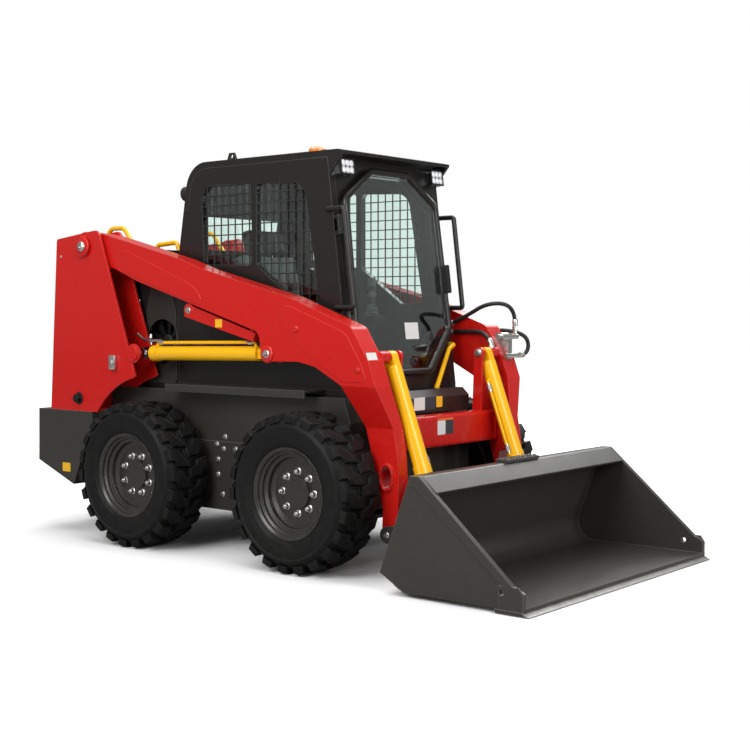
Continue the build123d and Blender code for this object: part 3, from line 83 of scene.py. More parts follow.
# %% [markdown]
# ## Helpers for node trees
# A finish is a graph of small nodes. Making and linking them one by one hides the idea, so each helper here
# makes one node, sets it up, and gives back the socket to go on with.


# %% Node helpers
def node(tree, kind, **settings):
    """A new node with its properties set by name."""
    made = tree.nodes.new(kind)
    for key, value in settings.items():
        setattr(made, key, value)
    return made


def where(tree):
    """The socket that gives a point's place on its object."""
    return node(tree, "ShaderNodeTexCoord").outputs["Object"]


def noise(tree, vector, scale, detail=3.0):
    """A noise texture on object coordinates; returns its value socket."""
    made = node(tree, "ShaderNodeTexNoise")
    made.inputs["Scale"].default_value = scale
    made.inputs["Detail"].default_value = detail
    tree.links.new(vector, made.inputs["Vector"])
    return made.outputs["Fac"]


def spread(tree, value, low, high, to_low, to_high):
    """A map range node between given limits; limits may be sockets."""
    made = node(tree, "ShaderNodeMapRange")
    tree.links.new(value, made.inputs["Value"])
    for name, limit in (("From Min", low), ("From Max", high), ("To Min", to_low), ("To Max", to_high)):
        if isinstance(limit, (int, float)):
            made.inputs[name].default_value = limit
        else:
            tree.links.new(limit, made.inputs[name])
    return made.outputs["Result"]


def maths(tree, operation, a, b):
    """A math node on two sockets or numbers."""
    made = node(tree, "ShaderNodeMath", operation=operation)
    for place, value in enumerate((a, b)):
        if isinstance(value, (int, float)):
            made.inputs[place].default_value = value
        else:
            tree.links.new(value, made.inputs[place])
    return made.outputs["Value"]


def mixed(tree, mask, first, second):
    """A colour mix of two sockets or colours by a mask socket."""
    made = node(tree, "ShaderNodeMix", data_type="RGBA")
    tree.links.new(mask, made.inputs["Factor"])
    for place, value in ((6, first), (7, second)):
        if isinstance(value, tuple):
            made.inputs[place].default_value = (*value, 1)
        else:
            tree.links.new(value, made.inputs[place])
    return made.outputs[2]


# %% [markdown]
# ## Studio
# A pale floor catches the shadow and brightens with distance, so that it meets the white world without a
# line. The world is white where the camera looks at it, straight or through glass, and a dim grey for
# everything else. That keeps dark paint dark. Large area lamps give the paint its long highlights, and two
# tall strips draw the bright lines along posts and tubes.

# %% Floor, world and lamps
FLOOR_HALF = 30
GLOW_START, GLOW_END = 1.2, 7.0
scene = bpy.context.scene
scene.view_settings.view_transform = "Standard"
floor_mesh = bpy.data.meshes.new("floor")
corners = [(x * FLOOR_HALF, y * FLOOR_HALF, 0) for x, y in ((-1, -1), (1, -1), (1, 1), (-1, 1))]
floor_mesh.from_pydata(corners, [], [(0, 1, 2, 3)])
floor = bpy.data.objects.new("floor", floor_mesh)
scene.collection.objects.link(floor)
floor_paint = bpy.data.materials.new("floor_paint")
floor_paint.use_nodes = True
floor_mesh.materials.append(floor_paint)


def seen_directly(tree):
    """1 where the eye looks straight or through glass, 0 for light that bounces."""
    rays = node(tree, "ShaderNodeLightPath").outputs
    return maths(tree, "MAXIMUM", rays["Is Camera Ray"], rays["Is Transmission Ray"])


tree = floor_paint.node_tree
shader = tree.nodes["Principled BSDF"]
shader.inputs["Roughness"].default_value = 0.6
shader.inputs["Specular IOR Level"].default_value = 0.0
shader.inputs["Emission Strength"].default_value = 1.0
seen = seen_directly(tree)
tree.links.new(mixed(tree, seen, (0.34, 0.34, 0.34), (0.93, 0.93, 0.93)), shader.inputs["Base Color"])
reach = node(tree, "ShaderNodeVectorMath", operation="LENGTH")
tree.links.new(where(tree), reach.inputs[0])
glow = spread(tree, reach.outputs["Value"], GLOW_START, GLOW_END, 0.0, 0.9)
glow.node.interpolation_type = "SMOOTHSTEP"
tree.links.new(maths(tree, "MULTIPLY", glow, seen), shader.inputs["Emission Color"])

world = bpy.data.worlds.new("studio")
scene.world = world
world.use_nodes = True
tree = world.node_tree
background = tree.nodes["Background"]
background.inputs["Color"].default_value = (1, 1, 1, 1)
tree.links.new(spread(tree, seen_directly(tree), 0.0, 1.0, 0.30, 1.0), background.inputs["Strength"])


def area_lamp(name, place, target, size, power, tall=0.0):
    """An area lamp at place that faces target, square or a tall strip."""
    data = bpy.data.lights.new(name, "AREA")
    data.size = size
    if tall:
        data.shape = "RECTANGLE"
        data.size_y = tall
    data.energy = power
    lamp = bpy.data.objects.new(name, data)
    lamp.location = place
    lamp.rotation_euler = (Vector(target) - Vector(place)).to_track_quat("-Z", "Y").to_euler()
    scene.collection.objects.link(lamp)


area_lamp("key", (0.5, -6.5, 5.0), (0, 0, 0.7), 4.0, 345)
area_lamp("front", (6.5, -2.5, 3.6), (0.3, 0, 0.8), 3.0, 190)
area_lamp("top", (-0.5, 0.5, 6.5), (0, 0, 0), 6.0, 380)
area_lamp("back", (-0.8, 6.0, 5.2), (0, 0, 0.8), 4.0, 230)
area_lamp("side strip", (-0.6, -7.5, 1.5), (0.4, -0.4, 1.3), 0.5, 45, tall=2.8)
area_lamp("front strip", (6.6, 1.4, 1.5), (0.5, 0, 1.3), 0.5, 80, tall=2.8)

# %% [markdown]
# ## Finishes
# Sprayed paint is never one flat colour: it clouds a little, it has a fine orange peel, and dust settles
# low down. Those three effects are shared by every paint here, so they are one node group with named
# inputs, and each paint sets its own values. The shader itself stays in the material, where its constants
# sit on its own sockets.


# %% The paint group
def new_group(name, inputs, outputs):
    """An empty shader group with float or colour sockets, and its input and output nodes."""
    group = bpy.data.node_groups.new(name, "ShaderNodeTree")
    for label, kind, value in inputs:
        socket = group.interface.new_socket(label, in_out="INPUT", socket_type=kind)
        socket.default_value = value
    for label, kind in outputs:
        group.interface.new_socket(label, in_out="OUTPUT", socket_type=kind)
    return group, group.nodes.new("NodeGroupInput"), group.nodes.new("NodeGroupOutput")


FLOAT = "NodeSocketFloat"
COLOUR = "NodeSocketColor"


paint_group, g_in, g_out = new_group(
    "sprayed_paint",
    [
        ("Colour", COLOUR, (0.5, 0.5, 0.5, 1)),
        ("Clouding", FLOAT, 0.06),
        ("Roughness", FLOAT, 0.35),
        ("Dust", FLOAT, 0.15),
        ("Peel Scale", FLOAT, 420.0),
    ],
    [("Colour", COLOUR), ("Roughness", FLOAT), ("Height", FLOAT)],
)
tree = paint_group
place = where(tree)
clouds = noise(tree, place, 3.5, 5.0)
value = maths(tree, "MULTIPLY_ADD", maths(tree, "SUBTRACT", clouds, 0.5), g_in.outputs["Clouding"])
value.node.inputs[2].default_value = 1.0
tint = node(tree, "ShaderNodeHueSaturation")
tree.links.new(g_in.outputs["Colour"], tint.inputs["Color"])
tree.links.new(value, tint.inputs["Value"])
split = node(tree, "ShaderNodeSeparateXYZ")
tree.links.new(place, split.inputs[0])
low_down = spread(tree, split.outputs["Z"], 0.9, 0.0, 0.15, 1.0)
speckle = spread(tree, noise(tree, place, 26.0, 8.0), 0.42, 0.72, 0.0, 1.0)
dusty = maths(tree, "MULTIPLY", maths(tree, "MULTIPLY", low_down, speckle), g_in.outputs["Dust"])
tree.links.new(mixed(tree, dusty, tint.outputs["Color"], (0.19, 0.165, 0.135)), g_out.inputs["Colour"])
streaks = maths(tree, "MULTIPLY", maths(tree, "SUBTRACT", noise(tree, place, 9.0, 4.0), 0.5), 0.16)
rough = maths(tree, "ADD", g_in.outputs["Roughness"], streaks)
rough = maths(tree, "ADD", rough, maths(tree, "MULTIPLY", dusty, 0.5))
tree.links.new(rough, g_out.inputs["Roughness"])
peel = node(tree, "ShaderNodeTexNoise")
peel.inputs["Detail"].default_value = 1.0
tree.links.new(place, peel.inputs["Vector"])
tree.links.new(g_in.outputs["Peel Scale"], peel.inputs["Scale"])
tree.links.new(peel.outputs["Fac"], g_out.inputs["Height"])
print("group", paint_group.name, len(tree.nodes), "nodes")

# %% [markdown]
# ## Paints, rubbers and plastics
# Each finish takes the shared group and sets colour, gloss, grain and dust. A bevel node softens the normal
# near edges. Where the softened normal leaves the face's own, the colour moves to a lighter tone. That tone
# is partly wear, as edges have on a machine in use, and partly a painted highlight along the edges. The blank
# labels are the same paint in plain colours.

# %% Paints, rubbers and plastics from the group
finishes = {}


def start_finish(name):
    """A new material under its finish's name; gives back its tree and its Principled shader."""
    material = bpy.data.materials.new(name)
    material.use_nodes = True
    finishes[name] = material
    return material.node_tree, material.node_tree.nodes["Principled BSDF"]


def sprayed(name, colour, rough, clouding=0.08, dust=0.15, coat=0.0, bump=0.05, peel=420.0,
            specular=0.5, edge=0.0, lighter_edge=(0.5, 0.5, 0.5), edge_wear_and_highlight=0.0):
    """A finish from the shared group: own colour, gloss and grain; soft edges lightened by wear and painted
    highlight.
    """
    tree, shader = start_finish(name)
    skin = node(tree, "ShaderNodeGroup", node_tree=paint_group)
    values = {"Colour": (*colour, 1), "Clouding": clouding, "Roughness": rough, "Dust": dust,
              "Peel Scale": peel}
    for label, value in values.items():
        skin.inputs[label].default_value = value
    lift = node(tree, "ShaderNodeBump")
    if edge:
        soft = node(tree, "ShaderNodeBevel", samples=4)
        soft.inputs["Radius"].default_value = edge
        tree.links.new(soft.outputs["Normal"], lift.inputs["Normal"])
    lift.inputs["Strength"].default_value = bump
    lift.inputs["Distance"].default_value = 0.002
    tree.links.new(skin.outputs["Height"], lift.inputs["Height"])
    tree.links.new(lift.outputs["Normal"], shader.inputs["Normal"])
    colour_out = skin.outputs["Colour"]
    # The lighter edge tone is partly wear and partly a painted highlight along the edges.
    if edge and edge_wear_and_highlight:
        plain = node(tree, "ShaderNodeNewGeometry")
        turn = node(tree, "ShaderNodeVectorMath", operation="DOT_PRODUCT")
        tree.links.new(soft.outputs["Normal"], turn.inputs[0])
        tree.links.new(plain.outputs["Normal"], turn.inputs[1])
        edge_wear_and_highlight_mask = spread(tree, turn.outputs["Value"], 0.985, 0.86, 0.0, edge_wear_and_highlight)
        colour_out = mixed(tree, edge_wear_and_highlight_mask, colour_out, lighter_edge)
    tree.links.new(colour_out, shader.inputs["Base Color"])
    tree.links.new(skin.outputs["Roughness"], shader.inputs["Roughness"])
    shader.inputs["Coat Weight"].default_value = coat
    shader.inputs["Coat Roughness"].default_value = 0.12
    shader.inputs["Specular IOR Level"].default_value = specular
    return tree, shader, skin


# Each paint's lighter edge tone below stands for wear and for a painted highlight along its edges.
sprayed("paint_red", (0.545, 0.0085, 0.006), 0.28, clouding=0.05, dust=0.02, coat=0.3, bump=0.012,
        specular=0.3, edge=0.005, lighter_edge=(0.80, 0.10, 0.07), edge_wear_and_highlight=0.55)
sprayed("paint_charcoal", (0.035, 0.033, 0.028), 0.34, clouding=0.12, dust=0.03, bump=0.02,
        specular=0.38, edge=0.004, lighter_edge=(0.22, 0.215, 0.20), edge_wear_and_highlight=0.75)
sprayed("paint_black", (0.013, 0.012, 0.011), 0.30, clouding=0.12, dust=0.03, bump=0.02,
        specular=0.42, edge=0.004, lighter_edge=(0.13, 0.127, 0.122), edge_wear_and_highlight=0.7)
sprayed("paint_yellow", (0.90, 0.47, 0.003), 0.24, clouding=0.03, dust=0.02, coat=0.3, bump=0.008,
        specular=0.35, edge=0.002)
# The rims' darker charcoal is painted shade for the shade inside the wheel dishes.
sprayed("rim_charcoal", (0.022, 0.021, 0.0175), 0.26, clouding=0.15, dust=0.05, bump=0.015,
        specular=0.5, edge=0.003, lighter_edge=(0.16, 0.155, 0.14), edge_wear_and_highlight=0.7)
sprayed("plastic_black", (0.010, 0.010, 0.0105), 0.50, clouding=0.2, dust=0.03, bump=0.2, peel=900.0,
        edge=0.002)
sprayed("hose_rubber", (0.010, 0.010, 0.010), 0.52, clouding=0.25, dust=0.08, bump=0.2, peel=700.0)
sprayed("tyre_rubber", (0.0070, 0.0070, 0.0068), 0.50, clouding=0.35, dust=0.04, bump=0.14, peel=320.0,
        specular=0.15, edge=0.004, lighter_edge=(0.036, 0.036, 0.035), edge_wear_and_highlight=0.8)
sprayed("seal_rubber", (0.007, 0.007, 0.007), 0.6, clouding=0.2, dust=0.02, bump=0.1, specular=0.3)
sprayed("engine_cast", (0.045, 0.045, 0.045), 0.6, clouding=0.4, dust=0.2, bump=0.5, peel=200.0)
sprayed("seat_vinyl", (0.030, 0.031, 0.032), 0.5, clouding=0.2, dust=0.0, bump=0.10, peel=620.0)
sprayed("boot_rubber", (0.075, 0.080, 0.080), 0.6, clouding=0.2, dust=0.0, bump=0.2, peel=700.0)
LABELS = {"white": (0.72, 0.72, 0.70), "yellow": (0.85, 0.46, 0.01), "orange": (0.80, 0.16, 0.02),
          "dark": (0.03, 0.035, 0.05)}
for tone, colour in LABELS.items():
    sprayed("label_" + tone, colour, 0.45, clouding=0.04, dust=0.02, bump=0.01)
print("paints", sorted(finishes))

# %% [markdown]
# ## Woven seat cover
# Seat cloth shows crossed threads. Two wave textures slant against each other, and where both are high a
# thread lies on top: lighter and smoother than the gaps. The pattern is solid in space, so it needs no
# unwrapping.

# %% Seat cloth
THREADS = 110.0
tree, shader, skin = sprayed("seat_cloth", (0.17, 0.185, 0.185), 0.85, clouding=0.3, dust=0.0, bump=0.22,
                             peel=1100.0)
place = where(tree)
weave = []
for turn in (1, -1):
    slant = node(tree, "ShaderNodeMapping")
    slant.inputs["Scale"].default_value = (1, turn, 1)
    tree.links.new(place, slant.inputs["Vector"])
    bands = node(tree, "ShaderNodeTexWave", bands_direction="DIAGONAL")
    bands.inputs["Scale"].default_value = THREADS
    tree.links.new(slant.outputs["Vector"], bands.inputs["Vector"])
    weave.append(bands.outputs["Fac"])
on_top = maths(tree, "MULTIPLY", *weave)
tree.links.new(spread(tree, on_top, 0.0, 1.0, 0.95, 0.70), shader.inputs["Roughness"])
lit = spread(tree, on_top, 0.0, 0.6, 0.35, 1.0)
tree.links.new(mixed(tree, lit, (0.075, 0.084, 0.084), skin.outputs["Colour"]), shader.inputs["Base Color"])
print("cloth", len(tree.nodes), "nodes")

# %% [markdown]
# ## Metals, glass and lenses
# Zinc, chrome and lamp reflectors differ in how evenly they shine, so one group gives each its own streaks.
# The bucket's steel is painted, and rubbed bare along the front of its cutting edge. Glass is a clear body
# with a green cast and a few smudges that only change its roughness.

# %% Metal group, glass and lenses
metal_group, g_in, g_out = new_group(
    "bright_metal",
    [("Colour", COLOUR, (0.6, 0.6, 0.6, 1)), ("Roughness", FLOAT, 0.3), ("Streaks", FLOAT, 0.2)],
    [("Colour", COLOUR), ("Roughness", FLOAT)],
)
tree = metal_group
place = where(tree)
cloud = noise(tree, place, 40.0, 6.0)
tint = node(tree, "ShaderNodeHueSaturation")
tree.links.new(g_in.outputs["Colour"], tint.inputs["Color"])
tree.links.new(spread(tree, cloud, 0.3, 0.7, 0.86, 1.08), tint.inputs["Value"])
tree.links.new(tint.outputs["Color"], g_out.inputs["Colour"])
fine = maths(tree, "SUBTRACT", noise(tree, place, 240.0, 3.0), 0.5)
fine = maths(tree, "MULTIPLY", fine, g_in.outputs["Streaks"])
tree.links.new(maths(tree, "ADD", g_in.outputs["Roughness"], fine), g_out.inputs["Roughness"])


def metal(name, colour, rough, streaks):
    """A bare or plated metal from the shared group."""
    tree, shader = start_finish(name)
    skin = node(tree, "ShaderNodeGroup", node_tree=metal_group)
    skin.inputs["Colour"].default_value = (*colour, 1)
    skin.inputs["Roughness"].default_value = rough
    skin.inputs["Streaks"].default_value = streaks
    tree.links.new(skin.outputs["Colour"], shader.inputs["Base Color"])
    tree.links.new(skin.outputs["Roughness"], shader.inputs["Roughness"])
    shader.inputs["Metallic"].default_value = 1.0


metal("chrome_rod", (0.78, 0.78, 0.79), 0.10, 0.06)
metal("zinc_steel", (0.66, 0.65, 0.62), 0.32, 0.25)
metal("reflector", (0.85, 0.85, 0.86), 0.12, 0.05)

BARE_STEEL = (0.42, 0.41, 0.39)
BARE_FROM, BARE_TO = 1.725, 1.755
# Its edges lighten towards bare steel: partly wear, partly a painted highlight.
tree, shader, _ = sprayed("steel_worn", (0.038, 0.036, 0.031), 0.40, clouding=0.14, dust=0.05, bump=0.08,
                          specular=0.35, edge=0.004, lighter_edge=BARE_STEEL, edge_wear_and_highlight=0.9)
place = where(tree)
split = node(tree, "ShaderNodeSeparateXYZ")
tree.links.new(place, split.inputs[0])
ragged = maths(tree, "MULTIPLY", noise(tree, place, 30.0, 6.0), 0.03)
lighter_edge = spread(tree, maths(tree, "ADD", split.outputs["X"], ragged), BARE_FROM, BARE_TO, 0.0, 0.75)
painted = shader.inputs["Base Color"].links[0].from_socket
tree.links.new(mixed(tree, lighter_edge, painted, BARE_STEEL), shader.inputs["Base Color"])
tree.links.new(lighter_edge, shader.inputs["Metallic"])


def clear(name, colour, rough, smudge):
    """A clear body: glass or a moulded lens with a few smudges."""
    tree, shader = start_finish(name)
    place = where(tree)
    marks = spread(tree, noise(tree, place, 7.0, 6.0), 0.45, 0.75, rough, rough + smudge)
    tree.links.new(marks, shader.inputs["Roughness"])
    shader.inputs["Base Color"].default_value = (*colour, 1)
    shader.inputs["Transmission Weight"].default_value = 1.0
    shader.inputs["IOR"].default_value = 1.45


clear("glass_tint", (0.84, 0.94, 0.905), 0.0, 0.02)
clear("lamp_lens", (0.96, 0.97, 0.98), 0.02, 0.05)
sprayed("amber_lens", (0.86, 0.19, 0.008), 0.2, clouding=0.1, dust=0.0, bump=0.02, coat=0.6)
print("finishes", len(finishes))

# %% [markdown]
# ## Dressing the solids
# Every solid arrives with the name of its finish as its only material, so one loop swaps in the real
# finish. The rims get a glossier charcoal of their own, and its darker tone is painted shade for the shade
# inside the wheel dishes. Sheet metal and castings have broken edges that catch the light. A bevel modifier
# would need clean, joined faces, and the solids' own meshes stay as they are. So the paints soften the
# normal near an edge with a bevel shader node.

# %% Finishes on the solids
for name, solid in nodes.items():
    solid.data.materials[0] = finishes["rim_charcoal" if name.startswith("rim_") else slots[name]]
print("dressed", len(nodes), "solids")

# %% [markdown]
# ## Helpers for new pieces
# Each new piece is a plain mesh whose place is in its vertices, with the object at the origin, so that it
# can ride on a body of the machine. Places on a solid's skin are found by casting a ray at it, so nothing
# floats or sinks.


# %% Piece helpers
def keep(name, mesh, finish, body, smooth=True):
    """A finished mesh as a named piece: dressed, smoothed by angle, and riding on a body."""
    piece = bpy.data.objects.new(name, mesh)
    scene.collection.objects.link(piece)
    mesh.materials.clear()
    mesh.materials.append(finishes[finish])
    if smooth:
        mesh.polygons.foreach_set("use_smooth", [True] * len(mesh.polygons))
        mesh.set_sharp_from_angle(angle=math.radians(38))
    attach(piece, body)
    return piece


def mesh_of(name, build):
    """A mesh filled by a function that works on a bmesh, with its normals made to face outwards."""
    mesh = bpy.data.meshes.new(name)
    work = bmesh.new()
    build(work)
    bmesh.ops.recalc_face_normals(work, faces=work.faces)
    work.to_mesh(mesh)
    work.free()
    return mesh


def make(name, build, finish, body, smooth=True):
    """A piece from a function that works on a bmesh."""
    return keep(name, mesh_of(name, build), finish, body, smooth)


def baked(piece):
    """A new mesh of an object as its modifiers leave it."""
    ready = piece.evaluated_get(bpy.context.evaluated_depsgraph_get())
    return bpy.data.meshes.new_from_object(ready)


def band(work, low, high):
    """Faces between two closed rings of equally many points."""
    count = len(low)
    for k in range(count):
        work.faces.new((low[k], low[(k + 1) % count], high[(k + 1) % count], high[k]))


def lathe(work, profile, steps, place):
    """Turns (radius, height) pairs about local Z; closes the ends; place is a matrix."""
    rings = []
    for radius, height in profile:
        ring = []
        for k in range(steps):
            turn = math.tau * k / steps
            spot = place @ Vector((radius * math.cos(turn), radius * math.sin(turn), height))
            ring.append(work.verts.new(spot))
        rings.append(ring)
    for low, high in zip(rings, rings[1:]):
        band(work, low, high)
    work.faces.new(list(reversed(rings[0])))
    work.faces.new(rings[-1])


def facing(point, direction):
    """A matrix that puts local Z along a direction at a point."""
    turn = Vector(direction).to_track_quat("Z", "Y").to_matrix().to_4x4()
    return Matrix.Translation(point) @ turn


def touch(name, point, direction):
    """Where a ray from a point first meets a solid's skin."""
    hit, spot, _, _ = nodes[name].ray_cast(Vector(point), Vector(direction).normalized())
    if not hit:
        raise ValueError(f"no skin of {name} on the way from {tuple(point)}")
    return spot


def box_into(work, low, high, bevel=0.0):
    """A box between two corners, with broken edges."""
    made = bmesh.ops.create_cube(work, size=1)["verts"]
    middle = (Vector(low) + Vector(high)) / 2
    size = Vector(high) - Vector(low)
    for vert in made:
        vert.co = middle + Vector((vert.co.x * size.x, vert.co.y * size.y, vert.co.z * size.z))
    if bevel:
        edges = list({edge for vert in made for edge in vert.link_edges})
        bmesh.ops.bevel(work, geom=edges, offset=bevel, segments=2, affect="EDGES", profile=0.5)


def flat_outline(points, radius, steps=6):
    """A closed outline of 2-D points with rounded corners."""
    rounded = []
    count = len(points)
    for k in range(count):
        before, here, after = (Vector(points[(k + d) % count]) for d in (-1, 0, 1))
        back, ahead = before - here, after - here
        size = min(radius, 0.45 * back.length, 0.45 * ahead.length)
        start, end = here + back.normalized() * size, here + ahead.normalized() * size
        for j in range(steps + 1):
            t = j / steps
            rounded.append(start * (1 - t) ** 2 + here * 2 * t * (1 - t) + end * t * t)
    return rounded


def plate_into(work, outline, lift, thick, chamfer):
    """A flat plate: lift turns an outline point and a height into space; its top edge is chamfered."""
    middle = sum(outline, Vector((0, 0))) / len(outline)
    low = [work.verts.new(lift(p, 0.0)) for p in outline]
    side = [work.verts.new(lift(p, thick - chamfer)) for p in outline]
    top = []
    for p in outline:
        away = p - middle
        top.append(work.verts.new(lift(p - away.normalized() * chamfer, thick)))
    band(work, low, side)
    band(work, side, top)
    work.faces.new(top)
    work.faces.new(list(reversed(low)))


# %% [markdown]
# ## Tyres
# The tread is one moulded lug repeated twenty-two times on each side of the tyre, the two rows half a step
# apart. A node tree turns copies of one lug about the wheel's axis, so that the number of lugs is one
# value.

# %% Tread node tree
LUGS = 22
tread = bpy.data.node_groups.new("tread_ring", "GeometryNodeTree")
tread.interface.new_socket("Geometry", in_out="INPUT", socket_type="NodeSocketGeometry")
count_socket = tread.interface.new_socket("Lugs", in_out="INPUT", socket_type="NodeSocketInt")
rubber_socket = tread.interface.new_socket("Rubber", in_out="INPUT", socket_type="NodeSocketMaterial")
tread.interface.new_socket("Geometry", in_out="OUTPUT", socket_type="NodeSocketGeometry")
t_in, t_out = tread.nodes.new("NodeGroupInput"), tread.nodes.new("NodeGroupOutput")


def ring_of(tree, lug, count, shift):
    """Copies of a lug turned about Y, shifted by a part of a step; returns the geometry socket."""
    points = tree.nodes.new("GeometryNodePoints")
    tree.links.new(count, points.inputs["Count"])
    step = maths(tree, "DIVIDE", math.tau, count)
    number = tree.nodes.new("GeometryNodeInputIndex").outputs["Index"]
    angle = maths(tree, "MULTIPLY", maths(tree, "ADD", number, shift), step)
    turn = tree.nodes.new("ShaderNodeCombineXYZ")
    tree.links.new(angle, turn.inputs["Y"])
    copies = tree.nodes.new("GeometryNodeInstanceOnPoints")
    tree.links.new(points.outputs[0], copies.inputs["Points"])
    tree.links.new(lug, copies.inputs["Instance"])
    tree.links.new(turn.outputs[0], copies.inputs["Rotation"])
    return copies.outputs[0]


flip = tread.nodes.new("GeometryNodeTransform")
flip.inputs["Scale"].default_value = (1, -1, 1)
tread.links.new(t_in.outputs["Geometry"], flip.inputs["Geometry"])
turned = tread.nodes.new("GeometryNodeFlipFaces")
tread.links.new(flip.outputs[0], turned.inputs[0])
both = tread.nodes.new("GeometryNodeJoinGeometry")
tread.links.new(ring_of(tread, t_in.outputs["Geometry"], t_in.outputs["Lugs"], 0.0), both.inputs[0])
tread.links.new(ring_of(tread, turned.outputs[0], t_in.outputs["Lugs"], 0.5), both.inputs[0])
real = tread.nodes.new("GeometryNodeRealizeInstances")
tread.links.new(both.outputs[0], real.inputs[0])
skin = tread.nodes.new("GeometryNodeSetMaterial")
tread.links.new(real.outputs[0], skin.inputs["Geometry"])
tread.links.new(t_in.outputs["Rubber"], skin.inputs["Material"])
tread.links.new(skin.outputs[0], t_out.inputs[0])
print("tree", tread.name, len(tread.nodes), "nodes")

# %% [markdown]
# ## Lug and carcass
# One lug is drawn on the unrolled tread, in millimetres along and across it, and then bent round the wheel
# with sloping walls and a broken top edge. The carcass under the lugs is turned from half a section: bead,
# bulged sidewall, a rib and the tread base.

# %% One lug, the carcass and four tyres
LUG_SHAPE = [(-48, -5), (1, -5), (16, 42), (46, 52), (58, 124), (0, 124), (-10, 86), (-36, 76)]


def crown(w):
    """How far the tread falls away from its middle to its shoulder."""
    return 0.0 if abs(w) < 0.06 else 1.9 * (abs(w) - 0.06) ** 2


def lug_mesh():
    """One lug about the wheel's axis, on the outer half of the tread."""
    fine = []
    for k, here in enumerate(LUG_SHAPE):
        after = LUG_SHAPE[(k + 1) % len(LUG_SHAPE)]
        a, b = Vector(here) / 1000, Vector(after) / 1000
        parts = max(1, round((b - a).length / 0.012))
        fine += [a.lerp(b, j / parts) for j in range(parts)]
    count = len(fine)
    normals = []
    for k in range(count):
        along = (fine[(k + 1) % count] - fine[k - 1]).normalized()
        normals.append(Vector((along.y, -along.x)))
    levels = [(0.007, -0.034), (0.0, -0.0035), (-0.0012, -0.001), (-0.004, 0.0)]

    def build(work):
        rings = []
        for grow, sink in levels:
            ring = []
            for p, n in zip(fine, normals):
                q = p + n * grow
                radius = WHEEL_R - crown(q.y) + sink
                turn = q.x / WHEEL_R
                side = min(q.y, 0.127 - 0.3 * max(0.0, sink + 0.012))
                ring.append(work.verts.new((radius * math.cos(turn), side, radius * math.sin(turn))))
            rings.append(ring)
        for low, high in zip(rings, rings[1:]):
            band(work, low, high)
        cap = work.faces.new(rings[-1])
        bmesh.ops.triangulate(work, faces=[cap], ngon_method="EAR_CLIP")

    return mesh_of("lug", build)


SECTION = [
    (0.211, 0.100), (0.218, 0.106), (0.226, 0.112), (0.234, 0.1175), (0.240, 0.1215), (0.243, 0.1235),
    (0.248, 0.1238), (0.252, 0.1240), (0.262, 0.1280), (0.276, 0.1302), (0.290, 0.1308), (0.302, 0.1304),
    (0.311, 0.1296), (0.3135, 0.1322), (0.3165, 0.1326), (0.3225, 0.1324), (0.3255, 0.1300),
    (0.333, 0.1262), (0.341, 0.1200), (0.350, 0.1110), (0.357, 0.0980), (0.361, 0.0780), (0.362, 0.0400),
    (0.362, 0.0),
]


def carcass(work):
    """The tyre under its lugs, turned about Y and mirrored to the inner half."""
    profile = SECTION + [(r, -w) for r, w in reversed(SECTION[:-1])]
    steps = 112
    rings = []
    for k in range(steps):
        turn = math.tau * k / steps
        ring = [work.verts.new((r * math.cos(turn), w, r * math.sin(turn))) for r, w in profile]
        rings.append(ring)
    for here, after in zip(rings, rings[1:] + rings[:1]):
        band(work, here, after)


def tyre(name, centre, side):
    """A whole tyre: the tread ring from the node tree joined to the carcass, moved to its wheel."""
    seed = bpy.data.objects.new("lug_seed", lug_mesh())
    scene.collection.objects.link(seed)
    rows = seed.modifiers.new("tread", "NODES")
    rows.node_group = tread
    rows[count_socket.identifier] = LUGS
    rows[rubber_socket.identifier] = finishes["tyre_rubber"]
    lugs = baked(seed)
    seed.modifiers.remove(rows)
    bpy.data.objects.remove(seed)

    def build(work):
        carcass(work)
        bmesh.ops.recalc_face_normals(work, faces=work.faces)
        work.from_mesh(lugs)
        for vert in work.verts:
            vert.co = centre + Vector((vert.co.x, vert.co.y * side, vert.co.z))

    mesh = mesh_of(name, build)
    bpy.data.meshes.remove(lugs)
    return mesh


for end, x in (("front", WHEEL_X), ("rear", -WHEEL_X)):
    for side_name, side in (("right", -1), ("left", 1)):
        mesh = tyre("tread_tyre", at(x, side * WHEEL_Y, WHEEL_R), side)
        piece = keep(f"tread_{end}_{side_name}", mesh, "tyre_rubber", f"wheel_{end}_{side_name}")
        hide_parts(f"tyre_{end}_{side_name}")
print("tyres of", len(mesh.polygons), "faces")

# %% [markdown]
# ## Bolts and nuts
# Bolts repeat all over the machine, so a node tree sets a copy of one bolt on every point of a mesh. Each
# point carries the direction it faces and its size. The copies of one body are then one plain mesh.

# %% Bolt tree
rows_tree = bpy.data.node_groups.new("bolt_rows", "GeometryNodeTree")
rows_tree.interface.new_socket("Geometry", in_out="INPUT", socket_type="NodeSocketGeometry")
bolt_socket = rows_tree.interface.new_socket("Bolt", in_out="INPUT", socket_type="NodeSocketObject")
plating_socket = rows_tree.interface.new_socket("Plating", in_out="INPUT", socket_type="NodeSocketMaterial")
rows_tree.interface.new_socket("Geometry", in_out="OUTPUT", socket_type="NodeSocketGeometry")
r_in, r_out = rows_tree.nodes.new("NodeGroupInput"), rows_tree.nodes.new("NodeGroupOutput")
shape = rows_tree.nodes.new("GeometryNodeObjectInfo")
rows_tree.links.new(r_in.outputs["Bolt"], shape.inputs["Object"])
heading = node(rows_tree, "GeometryNodeInputNamedAttribute", data_type="FLOAT_VECTOR")
heading.inputs["Name"].default_value = "facing"
size = node(rows_tree, "GeometryNodeInputNamedAttribute", data_type="FLOAT")
size.inputs["Name"].default_value = "size"
aim = node(rows_tree, "FunctionNodeAlignRotationToVector", axis="Z")
rows_tree.links.new(heading.outputs["Attribute"], aim.inputs["Vector"])
copies = rows_tree.nodes.new("GeometryNodeInstanceOnPoints")
